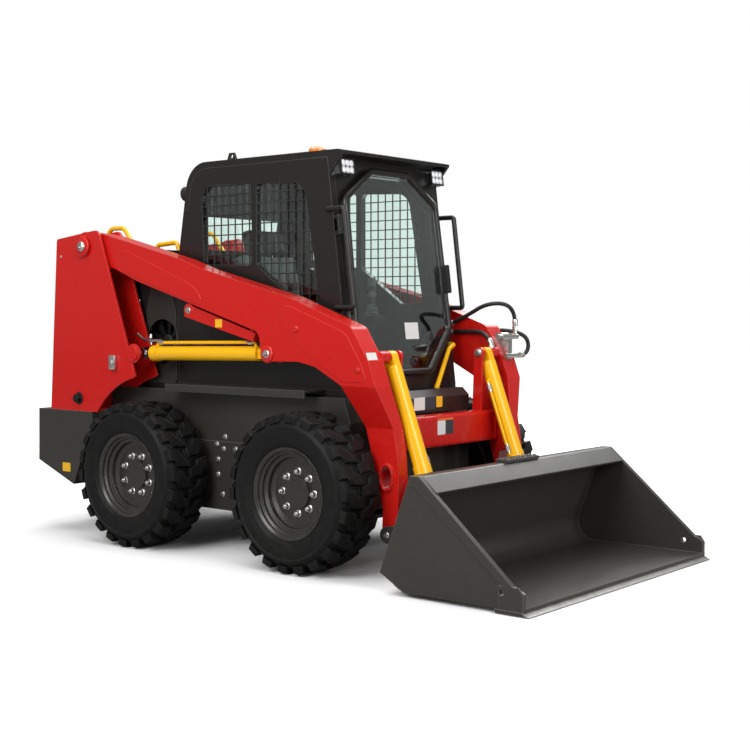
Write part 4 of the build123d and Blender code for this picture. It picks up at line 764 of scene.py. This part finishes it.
rows_tree.links.new(r_in.outputs["Geometry"], copies.inputs["Points"])
rows_tree.links.new(shape.outputs["Geometry"], copies.inputs["Instance"])
rows_tree.links.new(aim.outputs[0], copies.inputs["Rotation"])
rows_tree.links.new(size.outputs["Attribute"], copies.inputs["Scale"])
real = rows_tree.nodes.new("GeometryNodeRealizeInstances")
rows_tree.links.new(copies.outputs[0], real.inputs[0])
skin = rows_tree.nodes.new("GeometryNodeSetMaterial")
rows_tree.links.new(real.outputs[0], skin.inputs["Geometry"])
rows_tree.links.new(r_in.outputs["Plating"], skin.inputs["Material"])
rows_tree.links.new(skin.outputs[0], r_out.inputs[0])


def hex_bolt(work):
    """A hex head on a washer, one unit across its flats, standing on local Z = 0."""
    lathe(work, [(0.78, -0.03), (0.78, 0.09), (0.74, 0.12)], 20, Matrix())
    lathe(work, [(0.577, 0.1), (0.577, 0.58), (0.5, 0.66)], 6, Matrix())


def stud_nut(work):
    """A nut on a cone seat with the stud's end standing out."""
    lathe(work, [(0.80, -0.03), (0.80, 0.10), (0.62, 0.22)], 20, Matrix())
    lathe(work, [(0.577, 0.2), (0.577, 0.78), (0.5, 0.86)], 6, Matrix())
    lathe(work, [(0.30, 0.8), (0.30, 1.10), (0.25, 1.15)], 12, Matrix())


def dome_head(work):
    """A low round head with a socket."""
    dome = [(0.5, -0.03), (0.5, 0.14), (0.44, 0.24), (0.3, 0.31), (0.16, 0.32), (0.15, 0.2)]
    lathe(work, dome, 18, Matrix())


bolt_shapes = {}
for build in (hex_bolt, stud_nut, dome_head):
    pattern = bpy.data.objects.new(build.__name__, mesh_of(build.__name__, build))
    bolt_shapes[build.__name__] = pattern


def bolt_rows(name, body, kind, spots, finish="zinc_steel"):
    """Bolts of one kind on one body; spots are (point, direction, size across flats)."""
    mesh = bpy.data.meshes.new(name + "_points")
    mesh.from_pydata([tuple(p) for p, _, _ in spots], [], [])
    towards = mesh.attributes.new("facing", "FLOAT_VECTOR", "POINT")
    towards.data.foreach_set("vector", [c for _, d, _ in spots for c in d])
    wide = mesh.attributes.new("size", "FLOAT", "POINT")
    wide.data.foreach_set("value", [s for _, _, s in spots])
    carrier = bpy.data.objects.new(name + "_points", mesh)
    scene.collection.objects.link(carrier)
    rows = carrier.modifiers.new("rows", "NODES")
    rows.node_group = rows_tree
    rows[bolt_socket.identifier] = bolt_shapes[kind]
    rows[plating_socket.identifier] = finishes[finish]
    made = baked(carrier)
    carrier.modifiers.remove(rows)
    bpy.data.objects.remove(carrier)
    return keep(name, made, finish, body)


# %% [markdown]
# ## Where the bolts are
# Eight nuts hold each wheel, hex bolts close the chain case, and domed heads hold the cutting edge. Where
# the skin isn't known as a number, a ray from outside finds it.

# %% Wheel nuts, case bolts and edge bolts
RIGHT, LEFT = Vector((0, -1, 0)), Vector((0, 1, 0))
UP, DOWN = Vector((0, 0, 1)), Vector((0, 0, -1))
NUTS = 8
NUT_CIRCLE = 0.1015
NUT_FACE = 0.708
CASE_BOLTS = [(-0.139, 0.594), (-0.192, 0.553), (-0.142, 0.532), (-0.053, 0.534), (-0.184, 0.476),
              (-0.184, 0.395), (-0.150, 0.292)]
EDGE_BOLTS = 7
for end, x in (("front", WHEEL_X), ("rear", -WHEEL_X)):
    for side_name, side in (("right", RIGHT), ("left", LEFT)):
        spots = []
        for k in range(NUTS):
            turn = math.tau * (k + (0.0 if end == "front" else 0.5)) / NUTS
            across, up = NUT_CIRCLE * math.cos(turn), NUT_CIRCLE * math.sin(turn)
            spots.append((at(x + across, side.y * NUT_FACE, WHEEL_R + up), side, 0.024))
        bolt_rows(f"nuts_{end}_{side_name}", f"wheel_{end}_{side_name}", "stud_nut", spots)

spots = []
for side in (RIGHT, LEFT):
    for x, z in CASE_BOLTS:
        start = at(x, side.y * 0.8, z)
        spots.append((touch("main_frame", start, -side), side, 0.021))
bolt_rows("case_bolts", "chassis", "hex_bolt", spots)

spots = []
for k in range(EDGE_BOLTS):
    start = at(1.914, -0.796 + 0.2653 * k, 0.4)
    spots.append((touch("cutting_edge", start, DOWN), UP, 0.036))
bolt_rows("edge_bolts", "bucket", "dome_head", spots)
print("bolts placed")

# %% [markdown]
# ## Pins, plugs and fittings
# Pins carry every joint of a loader, and their heads show on its sides. Each head sits on the skin of its
# solid, found by a ray from outside, and rides with the body it is bolted to. Low rings and a small latch
# block go with them.

# %% Pin heads and plugs
OUTER = {RIGHT.y: "right", LEFT.y: "left"}


def on_side(prefix, x, z, side):
    """A point on the outer face of the right or left one of a pair of solids."""
    return touch(f"{prefix}_{OUTER[side.y]}", at(x, side.y * 0.95, z), -side)


def on_pair(name, x, z, side):
    """A point on the outer face of a solid that has both sides in one node."""
    return touch(name, at(x, side.y * 0.95, z), -side)


pivots, plugs, screws, arm_heads, red_heads, foot_heads = [], [], [], [], [], []
for side in (RIGHT, LEFT):
    pivots.append((on_side("tower", -1.090, 1.610, side), side, 0.056))
    plugs.append((on_side("tower", -1.150, 0.764, side), side, 0.044))
    screws.append((on_side("tower", -1.300, 1.560, side), side, 0.014))
    arm_heads.append((on_side("arm", 0.285, 1.041, side), side, 0.026))
    red_heads.append((on_side("arm", 0.482, 1.166, side), side, 0.034))
    red_heads.append((on_side("arm", 0.870, 0.975, side), side, 0.030))
    foot_heads.append((on_pair("attach_plate", 0.992, 0.203, side), side, 0.020))
arm_heads.append((on_pair("lock_strut", -0.298, 1.258, RIGHT), RIGHT, 0.022))
arm_heads += [(at(0.896, s * 0.337, 1.034), Vector((0, -s, 0)), 0.028) for s in (-1, 1)]
bolt_rows("tower_pin_heads", "chassis", "dome_head", pivots)
bolt_rows("tower_plugs", "chassis", "hex_bolt", plugs, "seal_rubber")
bolt_rows("tower_screws", "chassis", "dome_head", screws)
bolt_rows("arm_pin_heads", "lift_arms", "hex_bolt", arm_heads)
bolt_rows("arm_plugs", "lift_arms", "dome_head", red_heads, "paint_red")
bolt_rows("foot_pin_heads", "bucket", "hex_bolt", foot_heads)


def ring_into(work, spot, side, radius, height):
    """A low raised ring about a pin."""
    profile = [(radius, -0.003), (radius, height - 0.003), (radius - 0.004, height)]
    lathe(work, profile, 40, facing(spot, side))


def pivot_rings(work):
    """Raised rings round the arm pivots of the towers."""
    for spot, side, _ in pivots:
        ring_into(work, spot - side * 0.008, side, 0.052, 0.010)


def arm_rings(work):
    """Raised rings round the lift cylinder pins and the stored strut's pin."""
    for spot, side, size in arm_heads[:3]:
        ring_into(work, spot - side * 0.010, side, size * 1.6, 0.011)


make("pivot_rings", pivot_rings, "paint_red", "chassis")
make("arm_rings", arm_rings, "paint_red", "lift_arms")


def latch(work, side):
    """A latch block with a round button on the side of a tower."""
    spot = on_side("tower", -0.842, 0.973, side)
    far = spot + side * 0.022
    low = [min(a, b) - s for a, b, s in zip(spot, far, (0.024, 0.002, 0.040))]
    high = [max(a, b) + s for a, b, s in zip(spot, far, (0.024, 0, 0.040))]
    box_into(work, low, high, 0.005)
    lathe(work, [(0.012, 0.0), (0.012, 0.006), (0.009, 0.008)], 20, facing(far, side))


for name, side in (("latch_right", RIGHT), ("latch_left", LEFT)):
    make(name, lambda w, s=side: latch(w, s), "zinc_steel", "chassis")
print("heads on pins", len(pivots) + len(arm_heads) + len(foot_heads))

# %% [markdown]
# ## Fittings on the cylinders
# A pipe along each barrel brings the oil to its far end, and a hex sleeve holds it at both ends. The
# sleeves lie along the line between the cylinder's two pins.

# %% Hydraulic fittings on the cylinders
TILT_TOP, TILT_LOW = (0.896, 1.034), (1.148, 0.350)
LIFT_ARM, LIFT_TOWER = (0.285, 1.041), (-0.690, 1.024)


def pin_run(first, second):
    """The direction from one pin to another, both given as (x, z)."""
    return (at(second[0], 0, second[1]) - at(first[0], 0, first[1])).normalized()


TILT_RUN = pin_run(TILT_TOP, TILT_LOW)
LIFT_RUN = pin_run(LIFT_ARM, LIFT_TOWER)


def nut_on(work, spot, run, radius, length):
    """A hex sleeve with a round collar along a pipe."""
    lathe(work, [(radius, -length / 2), (radius, length / 2)], 6, facing(spot, run))
    lathe(work, [(radius * 0.8, -length * 0.9), (radius * 0.8, length * 0.9)], 18, facing(spot, run))


def tilt_fittings(work):
    """Sleeves at both ends of each tilt cylinder's pipe."""
    for side in (-1, 1):
        for along in (0.19, 0.52):
            spot = at(TILT_TOP[0], side * 0.346, TILT_TOP[1]) + TILT_RUN * along
            nut_on(work, spot, TILT_RUN, 0.0125, 0.026)


def lift_fittings(work):
    """Sleeves at both ends of each lift cylinder's pipe."""
    for side in (-1, 1):
        for along in (0.165, 0.835):
            spot = at(LIFT_ARM[0], side * 0.558, LIFT_ARM[1]) + LIFT_RUN * along + UP * 0.057
            nut_on(work, spot, LIFT_RUN, 0.0135, 0.026)


make("tilt_fittings", tilt_fittings, "zinc_steel", "tilt_barrels_body")
make("lift_fittings", lift_fittings, "zinc_steel", "lift_barrels_body")
print("fittings on the cylinders")

# %% [markdown]
# ## Hoses
# A hydraulic hose is stiff: it keeps wide bends between the points where it is clamped. Each one is a
# single NURBS curve whose control points are the points of its route, with a round section, so it stays
# smooth at any size.

# %% Three hoses on the left arm
HOSE_R = 0.011
ROUTES = {
    "upper_hose": [(0.600, 0.485, 1.180), (0.720, 0.485, 1.228), (0.840, 0.477, 1.290), (0.945, 0.520, 1.296),
                   (0.950, 0.600, 1.240), (0.950, 0.600, 1.178)],
    "side_hose": [(0.800, 0.634, 1.150), (0.905, 0.634, 1.150), (0.960, 0.690, 1.120), (0.965, 0.716, 1.065),
                  (0.955, 0.696, 1.018), (0.950, 0.650, 1.018)],
    "tilt_hose": [(0.600, 0.485, 1.140), (0.740, 0.485, 1.146), (0.850, 0.475, 1.140), (0.892, 0.462, 1.078)],
}


def nurbs_line(name, spots):
    """An open NURBS curve through the ends of a route, as an object in the scene."""
    curve = bpy.data.curves.new(name, "CURVE")
    curve.dimensions = "3D"
    spline = curve.splines.new("NURBS")
    spline.points.add(len(spots) - 1)
    for point, spot in zip(spline.points, spots):
        point.co = (*spot, 1)
    spline.order_u = 3
    spline.use_endpoint_u = True
    piece = bpy.data.objects.new(name, curve)
    scene.collection.objects.link(piece)
    return piece


def thicken(curve, radius, fineness):
    """Gives a curve a round section with closed ends."""
    curve.bevel_depth = radius
    curve.bevel_resolution = fineness
    curve.use_fill_caps = True


def hose(name, route):
    """One hose as an open curve; returns it and its length."""
    piece = nurbs_line(name + "_bent", [at(*spot) for spot in route])
    curve = piece.data
    curve.resolution_u = 16
    ready = piece.evaluated_get(bpy.context.evaluated_depsgraph_get())
    line = ready.to_mesh()
    spots = [v.co.copy() for v in line.vertices]
    length = sum((b - a).length for a, b in zip(spots, spots[1:]))
    ready.to_mesh_clear()
    thicken(curve, HOSE_R, 6)
    curve.materials.append(finishes["hose_rubber"])
    return piece, length


def crimps(work, route):
    """Crimped sleeves with a hex nut at both ends of a hose."""
    for end, inward in ((route[0], route[1]), (route[-1], route[-2])):
        place = facing(at(*end), at(*inward) - at(*end))
        lathe(work, [(0.0125, -0.004), (0.0142, 0.0), (0.0142, 0.030), (0.0120, 0.033)], 24, place)
        for ring in (0.008, 0.015, 0.022):
            lathe(work, [(0.0152, ring - 0.002), (0.0152, ring + 0.002)], 24, place)
        lathe(work, [(0.0170, -0.022), (0.0170, -0.006)], 6, place)


for name, route in ROUTES.items():
    piece, length = hose(name, route)
    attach(piece, "lift_arms")
    sleeve_mesh = mesh_of(name, lambda w, r=route: crimps(w, r))
    sleeves = keep(name + "_crimps", sleeve_mesh, "zinc_steel", "lift_arms")
    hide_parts(name)
    print(name, "length", round(length, 3))

# %% [markdown]
# ## Lamps
# A work lamp is a black housing with a clear cover. Behind the cover, bright cups throw the light of small
# diodes forward. The cups are turned shapes set in a grid; the cover is a thin clear plate in front of
# them.

# %% Work lamps and rear lamps
LAMP_FACE = at(0.5967, 0, 1.9626)
LAMP_OUT = Vector((0.9922, 0, 0.1249))
LAMP_UP = Vector((-0.1249, 0, 0.9922))
CUP_STEP, CUP_UP = 0.030, 0.017


def lamp_place(side, across, up, out):
    """A point on a work lamp's face, by its distances from the face's middle."""
    return LAMP_FACE + Vector((0, side * 0.368 + across, 0)) + LAMP_UP * up + LAMP_OUT * out


def on_each_cup(work, profile, steps):
    """Turns one profile at the places of the three by two cups of both work lamps."""
    for side in (-1, 1):
        for across in (-CUP_STEP, 0.0, CUP_STEP):
            for up in (-CUP_UP, CUP_UP):
                lathe(work, profile, steps, facing(lamp_place(side, across, up, 0), LAMP_OUT))


def cups(work):
    """The bright cups that throw the light forward."""
    shape = [(0.0165, -0.002), (0.0165, 0.004), (0.0150, 0.004), (0.0075, 0.0005), (0.004, 0.0005)]
    on_each_cup(work, shape, 20)


def diodes(work):
    """A small bright dome in each cup."""
    on_each_cup(work, [(0.006, 0.0), (0.005, 0.002), (0.002, 0.003)], 12)


def lamp_frames(work):
    """A raised frame of four bars round each work lamp's cups."""
    wide, tall, bar = 0.053, 0.040, 0.007
    bars = (((-wide, -tall), (wide, bar - tall)), ((-wide, tall - bar), (wide, tall)),
            ((-wide, -tall), (bar - wide, tall)), ((wide - bar, -tall), (wide, tall)))
    sides = ((3, 2, 1, 0), (4, 5, 6, 7), (0, 1, 5, 4), (1, 2, 6, 5), (2, 3, 7, 6), (3, 0, 4, 7))
    for side in (-1, 1):
        for low, high in bars:
            flat = ((low[0], low[1]), (high[0], low[1]), (high[0], high[1]), (low[0], high[1]))
            corners = [work.verts.new(lamp_place(side, a, u, out))
                       for out in (-0.001, 0.008) for a, u in flat]
            for face in sides:
                work.faces.new([corners[k] for k in face])


def rectangle(wide, tall):
    """The corners of a flat rectangle about its middle."""
    return [(-wide / 2, -tall / 2), (wide / 2, -tall / 2), (wide / 2, tall / 2), (-wide / 2, tall / 2)]


def covers(work):
    """The clear plate in front of each work lamp's cups."""
    outline = flat_outline(rectangle(0.092, 0.066), 0.004)
    for side in (-1, 1):
        plate_into(work, outline, lambda p, h, s=side: lamp_place(s, p.x, p.y, 0.0045 + h), 0.003, 0.0008)


tree, shader = start_finish("diode_white")
shader.inputs["Base Color"].default_value = (0.9, 0.9, 0.9, 1)
place = where(tree)
glow = spread(tree, noise(tree, place, 90.0), 0.3, 0.7, 0.75, 1.0)
tree.links.new(glow, shader.inputs["Emission Color"])
shader.inputs["Emission Strength"].default_value = 0.35
make("lamp_cups", cups, "reflector", "chassis")
make("lamp_diodes", diodes, "diode_white", "chassis")
make("lamp_frames", lamp_frames, "plastic_black", "chassis", smooth=False)
make("lamp_covers", covers, "lamp_lens", "chassis")


def rear_lenses(work):
    """A domed lens on the end of each rear lamp."""
    dome = [(0.034, -0.001), (0.034, 0.002), (0.028, 0.005), (0.015, 0.007), (0.004, 0.0075)]
    for side in (-1, 1):
        face = touch("rear_lamps", at(-1.2, side * 0.375, 1.890), (1, 0, 0))
        lathe(work, dome, 32, facing(face, (-1, 0, 0)))


make("rear_lenses", rear_lenses, "diode_white", "chassis")
print("lamps done")

# %% [markdown]
# ## Plates and stickers
# The machine carries small plates and stickers. They stay blank here: plain rectangles in the colours such
# stickers have, each a thin plate with rounded corners on the skin that it is stuck to.


# %% Blank plates
def sticker(name, solid, spot, towards, up, wide, tall, finish, body):
    """A blank plate on a solid's skin; spot is outside it, towards points into it."""
    across = Vector((1, 0, 0)) if towards.y else Vector((0, 1, 0))
    outline = flat_outline(rectangle(wide, tall), 0.004, 3)
    start = touch(solid, spot, towards) + towards.normalized() * 0.0004

    def build(work):
        plate_into(work, outline, lambda p, h: start + across * p.x + up * p.y - towards.normalized() * h,
                   0.0012, 0.0003)

    make(name, build, "label_" + finish, body)


BACK = Vector((-1, 0, 0))
KNEE_OUT, KNEE_UP = Vector((0.938, 0, 0.346)), Vector((-0.346, 0, 0.938))
ON_KNEE = at(0.94, -0.572, 1.032) + KNEE_OUT * 0.3
ON_DOOR = at(0.66, 0.060, 1.150) + LAMP_OUT * 0.3
PLATES = [
    ("sticker_strut", "lock_strut", at(-0.072, -0.9, 1.190), LEFT, UP, 0.050, 0.042, "yellow", "lift_arms"),
    ("sticker_bumper", "rear_bumper", at(-1.270, -0.9, 0.366), LEFT, UP, 0.070, 0.050, "yellow", "chassis"),
    ("plate_step", "front_step", at(1.2, -0.070, 0.786), BACK, UP, 0.090, 0.064, "white", "chassis"),
    ("plate_step_dark", "front_step", at(1.2, 0.020, 0.786), BACK, UP, 0.086, 0.064, "dark", "chassis"),
    ("sticker_step", "front_step", at(1.2, 0.098, 0.790), BACK, UP, 0.052, 0.056, "yellow", "chassis"),
    ("plate_beam", "crossbeam", at(1.3, -0.043, 0.672), BACK, UP, 0.066, 0.070, "white", "lift_arms"),
    ("plate_beam_dark", "crossbeam", at(1.3, 0.024, 0.672), BACK, UP, 0.066, 0.070, "dark", "lift_arms"),
    ("plate_beam_orange", "crossbeam", at(1.3, -0.010, 0.713), BACK, UP, 0.132, 0.010, "orange", "lift_arms"),
    ("plate_knee", "arm_right", ON_KNEE, -KNEE_OUT, KNEE_UP, 0.072, 0.066, "white", "lift_arms"),
    ("plate_door", "door_glass", ON_DOOR, -LAMP_OUT, LAMP_UP, 0.112, 0.086, "white", "cab_door"),
]
for row in PLATES:
    sticker(*row)
print("blank plates placed")

# %% [markdown]
# ## The driver's place
# Through the tinted glass one sees the seat. Its cushions are blown up as cloth: a box is wrapped in an
# even skin, and air pressure crowns it for twenty frames. The run gives the shape of the crown, and its
# height is given for each cushion. The sides pull in between the corners, two sewn channels cross the top,
# and the underside stays flat. A moulded shell carries the back, and two rods carry the headrest.


# %% Seat
VOXEL = 0.006
PRESSURE = 4.0
LAST_FRAME = 20
MOVE_CAP = 0.030
PULL_IN = 0.04
CHANNEL_AT, CHANNEL_DEEP, CHANNEL_HALF = 0.27, 0.007, 0.012


def cushion(name, size, place, finish, puff):
    """A cushion from a rounded box, crowned by a short cloth run under pressure."""

    def build(work):
        box_into(work, [-s / 2 for s in size], [s / 2 for s in size], min(size) * 0.22)

    mesh = mesh_of(name, build)
    piece = bpy.data.objects.new(name + "_work", mesh)
    scene.collection.objects.link(piece)
    wrap = piece.modifiers.new("wrap", "REMESH")
    wrap.mode = "VOXEL"
    wrap.voxel_size = VOXEL
    skin = baked(piece)
    piece.modifiers.remove(wrap)
    piece.data = skin
    rest = [v.co.copy() for v in skin.vertices]
    bow = [[1 - min(1.0, abs(2 * c[k] / size[k])) ** 2 for k in (0, 1)] for c in rest]
    crown = [along * across for along, across in bow]
    air = piece.modifiers.new("air", "CLOTH")
    air.settings.use_pressure = True
    air.settings.uniform_pressure_force = PRESSURE
    air.settings.effector_weights.gravity = 0.0
    air.settings.quality = 4
    air.point_cache.frame_start = 1
    air.point_cache.frame_end = LAST_FRAME
    for frame_number in range(1, LAST_FRAME + 1):
        scene.frame_set(frame_number)
    blown = baked(piece)
    piece.modifiers.remove(air)
    scene.frame_set(1)
    moves = [v.co.z - start.z for v, start in zip(blown.vertices, rest)]
    lift = [max(-MOVE_CAP, min(MOVE_CAP, move)) for move in moves]
    peak = max(lift)
    crown = [value / peak for value in lift]
    bpy.data.meshes.remove(blown)
    for vert, start, (along, across), rise in zip(skin.vertices, rest, bow, crown):
        upper = max(0.0, min(1.0, 0.5 + start.z / size[2]))
        from_channel = abs(abs(start.y) - size[1] * CHANNEL_AT)
        sewn = CHANNEL_DEEP * max(0.0, 1 - from_channel / CHANNEL_HALF)
        moved = (start.x * (1 - PULL_IN * across), start.y * (1 - PULL_IN * along),
                 start.z + upper * (puff * rise - sewn))
        vert.co = place @ Vector(moved)
    bpy.data.objects.remove(piece)
    made = keep(name, skin, finish, "chassis")
    return made


leaning = Matrix.Rotation(math.radians(78), 4, "Y")
lean = Matrix.Translation(at(-0.266, 0, 1.345)) @ leaning
top = Matrix.Translation(at(-0.326, 0, 1.632)) @ leaning
level = Matrix.Translation(at(-0.030, 0, 1.096))
seat_pan = cushion("seat_cushion", (0.37, 0.42, 0.098), level, "seat_cloth", 0.014)
seat_back = cushion("seat_back", (0.43, 0.42, 0.084), lean, "seat_cloth", 0.010)
cushion("seat_headrest", (0.13, 0.27, 0.075), top, "seat_vinyl", 0.010)
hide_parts("seat")


def seat_shell(work):
    """The moulded shell behind the back cushion, down to the seat base."""
    box_into(work, (-0.190, -0.165, -0.056), (0.300, 0.165, -0.036), 0.007)
    bmesh.ops.transform(work, matrix=lean, verts=work.verts)


def head_posts(work):
    """Two rods that carry the headrest."""
    for across in (-0.055, 0.055):
        place = lean @ Matrix.Translation((-0.225, across, 0)) @ Matrix.Rotation(math.pi / 2, 4, "Y")
        bmesh.ops.create_cone(work, cap_ends=True, segments=20, radius1=0.006, radius2=0.006, depth=0.090,
                              matrix=place)


make("seat_shell", seat_shell, "plastic_black", "chassis")
make("head_posts", head_posts, "chrome_rod", "chassis")
print("cushions", len(seat_pan.data.polygons), len(seat_back.data.polygons), "faces")


# %% [markdown]
# ## Control sticks
# Each control stick stands in a folded rubber boot and ends in a grip. Both are turned shapes: the boot's
# profile steps in and out once for every fold.


# %% Boots and grips
def boots(work):
    """A ribbed boot and a grip on each stick."""
    for side in (-1, 1):
        foot = at(0.190, side * 0.3185, 1.214)
        profile = []
        for rib in range(6):
            radius = 0.050 - 0.0045 * rib
            profile += [(radius, 0.014 * rib), (radius - 0.009, 0.014 * rib + 0.009)]
        lathe(work, profile, 28, Matrix.Translation(foot))
        grip = [(0.019, 0.10), (0.024, 0.13), (0.022, 0.18), (0.026, 0.205), (0.017, 0.222)]
        lathe(work, grip, 24, Matrix.Translation(foot))


make("stick_boots", boots, "boot_rubber", "chassis")
print("boots and grips on both sticks")

# %% [markdown]
# ## Side openings
# A round opening in each side panel shows a fan. Blades and hub stand before a dark wall, a sheet of
# painted shade for the dark space behind the fan, and a pressed plate frames the hole: a ring whose outer
# edge is a six-sided outline and whose inner edge is a circle.

# %% Fans and their frames
FAN_X, FAN_Z = -0.670, 1.085
FAN_HOLE = 0.124
BLADES = 9
FRAME_SHAPE = [(-0.800, 0.860), (-0.560, 0.860), (-0.560, 1.250), (-0.620, 1.400),
               (-0.760, 1.400), (-0.800, 1.250)]


def fan(work):
    """Blades and a hub behind each round opening in the side panels."""
    for side in (-1, 1):
        hub = at(FAN_X, side * 0.395, FAN_Z)
        lathe(work, [(0.040, -0.010), (0.040, 0.012), (0.030, 0.016)], 28, facing(hub, (0, side, 0)))
        for k in range(BLADES):
            turn = Matrix.Rotation(math.tau * k / BLADES, 4, "Y")
            corners = []
            for reach, half, twist in ((0.036, 0.016, 0.008), (0.122, 0.034, 0.012)):
                for edge in (-1, 1):
                    spot = Vector((edge * half, edge * twist * side, reach))
                    corners.append(work.verts.new(hub + (turn @ spot)))
            work.faces.new((corners[0], corners[1], corners[3], corners[2]))


def shroud(work):
    """A closed dark wall behind each fan, as painted shade for the space behind it."""
    for side in (-1, 1):
        box_into(work, at(-0.850, side * 0.360 - 0.004, 0.900), at(-0.550, side * 0.360 + 0.004, 1.300))


def fan_frames(work):
    """A pressed plate round each opening: a ring between the hole and a six-sided outline."""
    corners = flat_outline(FRAME_SHAPE, 0.03)
    outline = []
    for first, second in zip(corners, corners[1:] + corners[:1]):
        steps = max(1, round((second - first).length / 0.012))
        outline += [first.lerp(second, k / steps) for k in range(steps)]
    hub = Vector((FAN_X, FAN_Z))
    inner = [hub + (p - hub).normalized() * FAN_HOLE for p in outline]
    for side in (-1, 1):
        rings = []
        for depth in (0.4395, 0.4445):
            for edge in (outline, inner):
                rings.append([work.verts.new(at(p.x, side * depth, p.y)) for p in edge])
        low_out, low_in, top_out, top_in = rings
        for first, second in ((low_out, top_out), (top_out, top_in), (top_in, low_in), (low_in, low_out)):
            band(work, first, second)


make("fan_frames", fan_frames, "paint_charcoal", "chassis", smooth=False)
make("cooling_fans", fan, "plastic_black", "chassis")
# The dark walls are painted shade for the space behind the fans.
make("fan_shrouds", shroud, "paint_black", "chassis", smooth=False)
print("fans behind both openings")

# %% [markdown]
# ## Window guards
# A welded wire grid guards each side window. The solids' wires lap over the panel outside. Here each wire
# stops at the window's rounded outline, so that only the grid in the opening shows. One test finds where a
# wire crosses the outline, for upright and level wires alike.

# %% Wire grids cut to the windows
WINDOWS = [
    [(-0.362, 1.922), (0.012, 1.910), (0.012, 1.490), (-0.340, 1.490)],
    [(0.378, 1.892), (0.482, 1.291), (0.330, 1.291), (0.046, 1.490), (0.046, 1.908)],
]
WIRE, PITCH = 0.0055, 0.052
UPRIGHT_AT, LEVEL_AT = 0.041, 1.6
UPRIGHT_DEPTHS, LEVEL_DEPTHS = (0.4285, 0.4340), (0.4340, 0.4395)
LAP = 0.003


def crossings(outline, axis, level):
    """Where a closed outline crosses a line of constant x (axis 0) or z (axis 1)."""
    found = []
    for a, b in zip(outline, outline[1:] + outline[:1]):
        if (a[axis] - level) * (b[axis] - level) < 0:
            t = (level - a[axis]) / (b[axis] - a[axis])
            found.append(a[1 - axis] + t * (b[1 - axis] - a[1 - axis]))
    return sorted(found)


def guard_grid(work, side):
    """Uprights inside, level wires outside them, both cut to each window."""
    half = WIRE / 2
    for corners in WINDOWS:
        outline = flat_outline(corners, 0.030)
        for axis, first, depths in ((0, UPRIGHT_AT, UPRIGHT_DEPTHS), (1, LEVEL_AT, LEVEL_DEPTHS)):
            near, far = sorted(side * depth for depth in depths)
            for k in range(-12, 20):
                line = first + PITCH * k
                if not min(p[axis] for p in outline) < line < max(p[axis] for p in outline):
                    continue
                low, high = crossings(outline, axis, line)
                if axis == 0:
                    box_into(work, at(line - half, near, low - LAP), at(line + half, far, high + LAP))
                else:
                    box_into(work, at(low - LAP, near, line - half), at(high + LAP, far, line + half))


for name, side in (("guard_right", -1), ("guard_left", 1)):
    grid = make(name, lambda w, k=side: guard_grid(w, k), "paint_black", "chassis", smooth=False)
    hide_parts("guard_levels", "guard_uprights")
print("guard wires", len(grid.data.polygons) // 6, "a side")

# %% [markdown]
# ## Pressings on the arms
# The arm's side is built up from overlapping plates: one round the pivot that ends in a sweep, and one over
# the knee. They stand off by the thickness of a sheet, just enough to draw a line of light.

# %% Raised plates on both arms
ARM_FACE = 0.6115
REAR_PLATE = [(-0.800, 1.475), (-0.660, 1.421), (-0.190, 1.284), (-0.181, 1.312), (-0.205, 1.352),
              (-0.246, 1.382), (-0.340, 1.424), (-0.544, 1.499), (-0.800, 1.592)]
KNEE_PLATE = [(0.378, 1.225), (0.375, 1.262), (0.395, 1.284), (0.450, 1.275), (0.795, 1.152), (0.890, 1.012),
              (0.925, 0.922), (0.785, 0.916), (0.620, 1.002), (0.498, 1.087), (0.420, 1.160)]


def arm_plates(work):
    """Both plates on the outside of both arms."""
    for side in (-1, 1):
        for corners in (REAR_PLATE, KNEE_PLATE):
            outline = flat_outline(corners, 0.030, 5)
            plate_into(work, outline, lambda p, h, s=side: at(p.x, s * (ARM_FACE + h), p.y), 0.0035, 0.0015)


make("arm_plates", arm_plates, "paint_red", "lift_arms")
print("plates on both arms")

# %% [markdown]
# ## Feed tubes and step buttons
# A short bent steel tube meets each lift cylinder's pipe. It is the same kind of curve as a hose, made a
# mesh because it never bends. The step on the bucket's top edge has two rows of buttons for grip, set by
# the bolt tree.

# %% A bent tube to each lift cylinder
TUBE_R = 0.008
TUBE_ROUTE = [(-0.760, 0.545, 1.130), (-0.705, 0.552, 1.098), (-0.640, 0.558, 1.093), (-0.545, 0.558, 1.095)]
for name, side in (("feed_tube_right", -1), ("feed_tube_left", 1)):
    carrier = nurbs_line(name + "_line", [at(x, side * y, z) for x, y, z in TUBE_ROUTE])
    thicken(carrier.data, TUBE_R, 4)
    mesh = baked(carrier)
    bpy.data.objects.remove(carrier)
    keep(name, mesh, "zinc_steel", "lift_barrels_body")
print("tubes", len(mesh.polygons), "faces each")

# %% Buttons on the bucket's step
spots = []
for k in range(6):
    for row in (1.362, 1.390):
        spots.append((touch("bucket_step", at(row, -0.145 + 0.05 * k, 0.8), DOWN), UP, 0.020))
bolt_rows("step_buttons", "bucket", "dome_head", spots, "steel_worn")
print("buttons", len(spots))
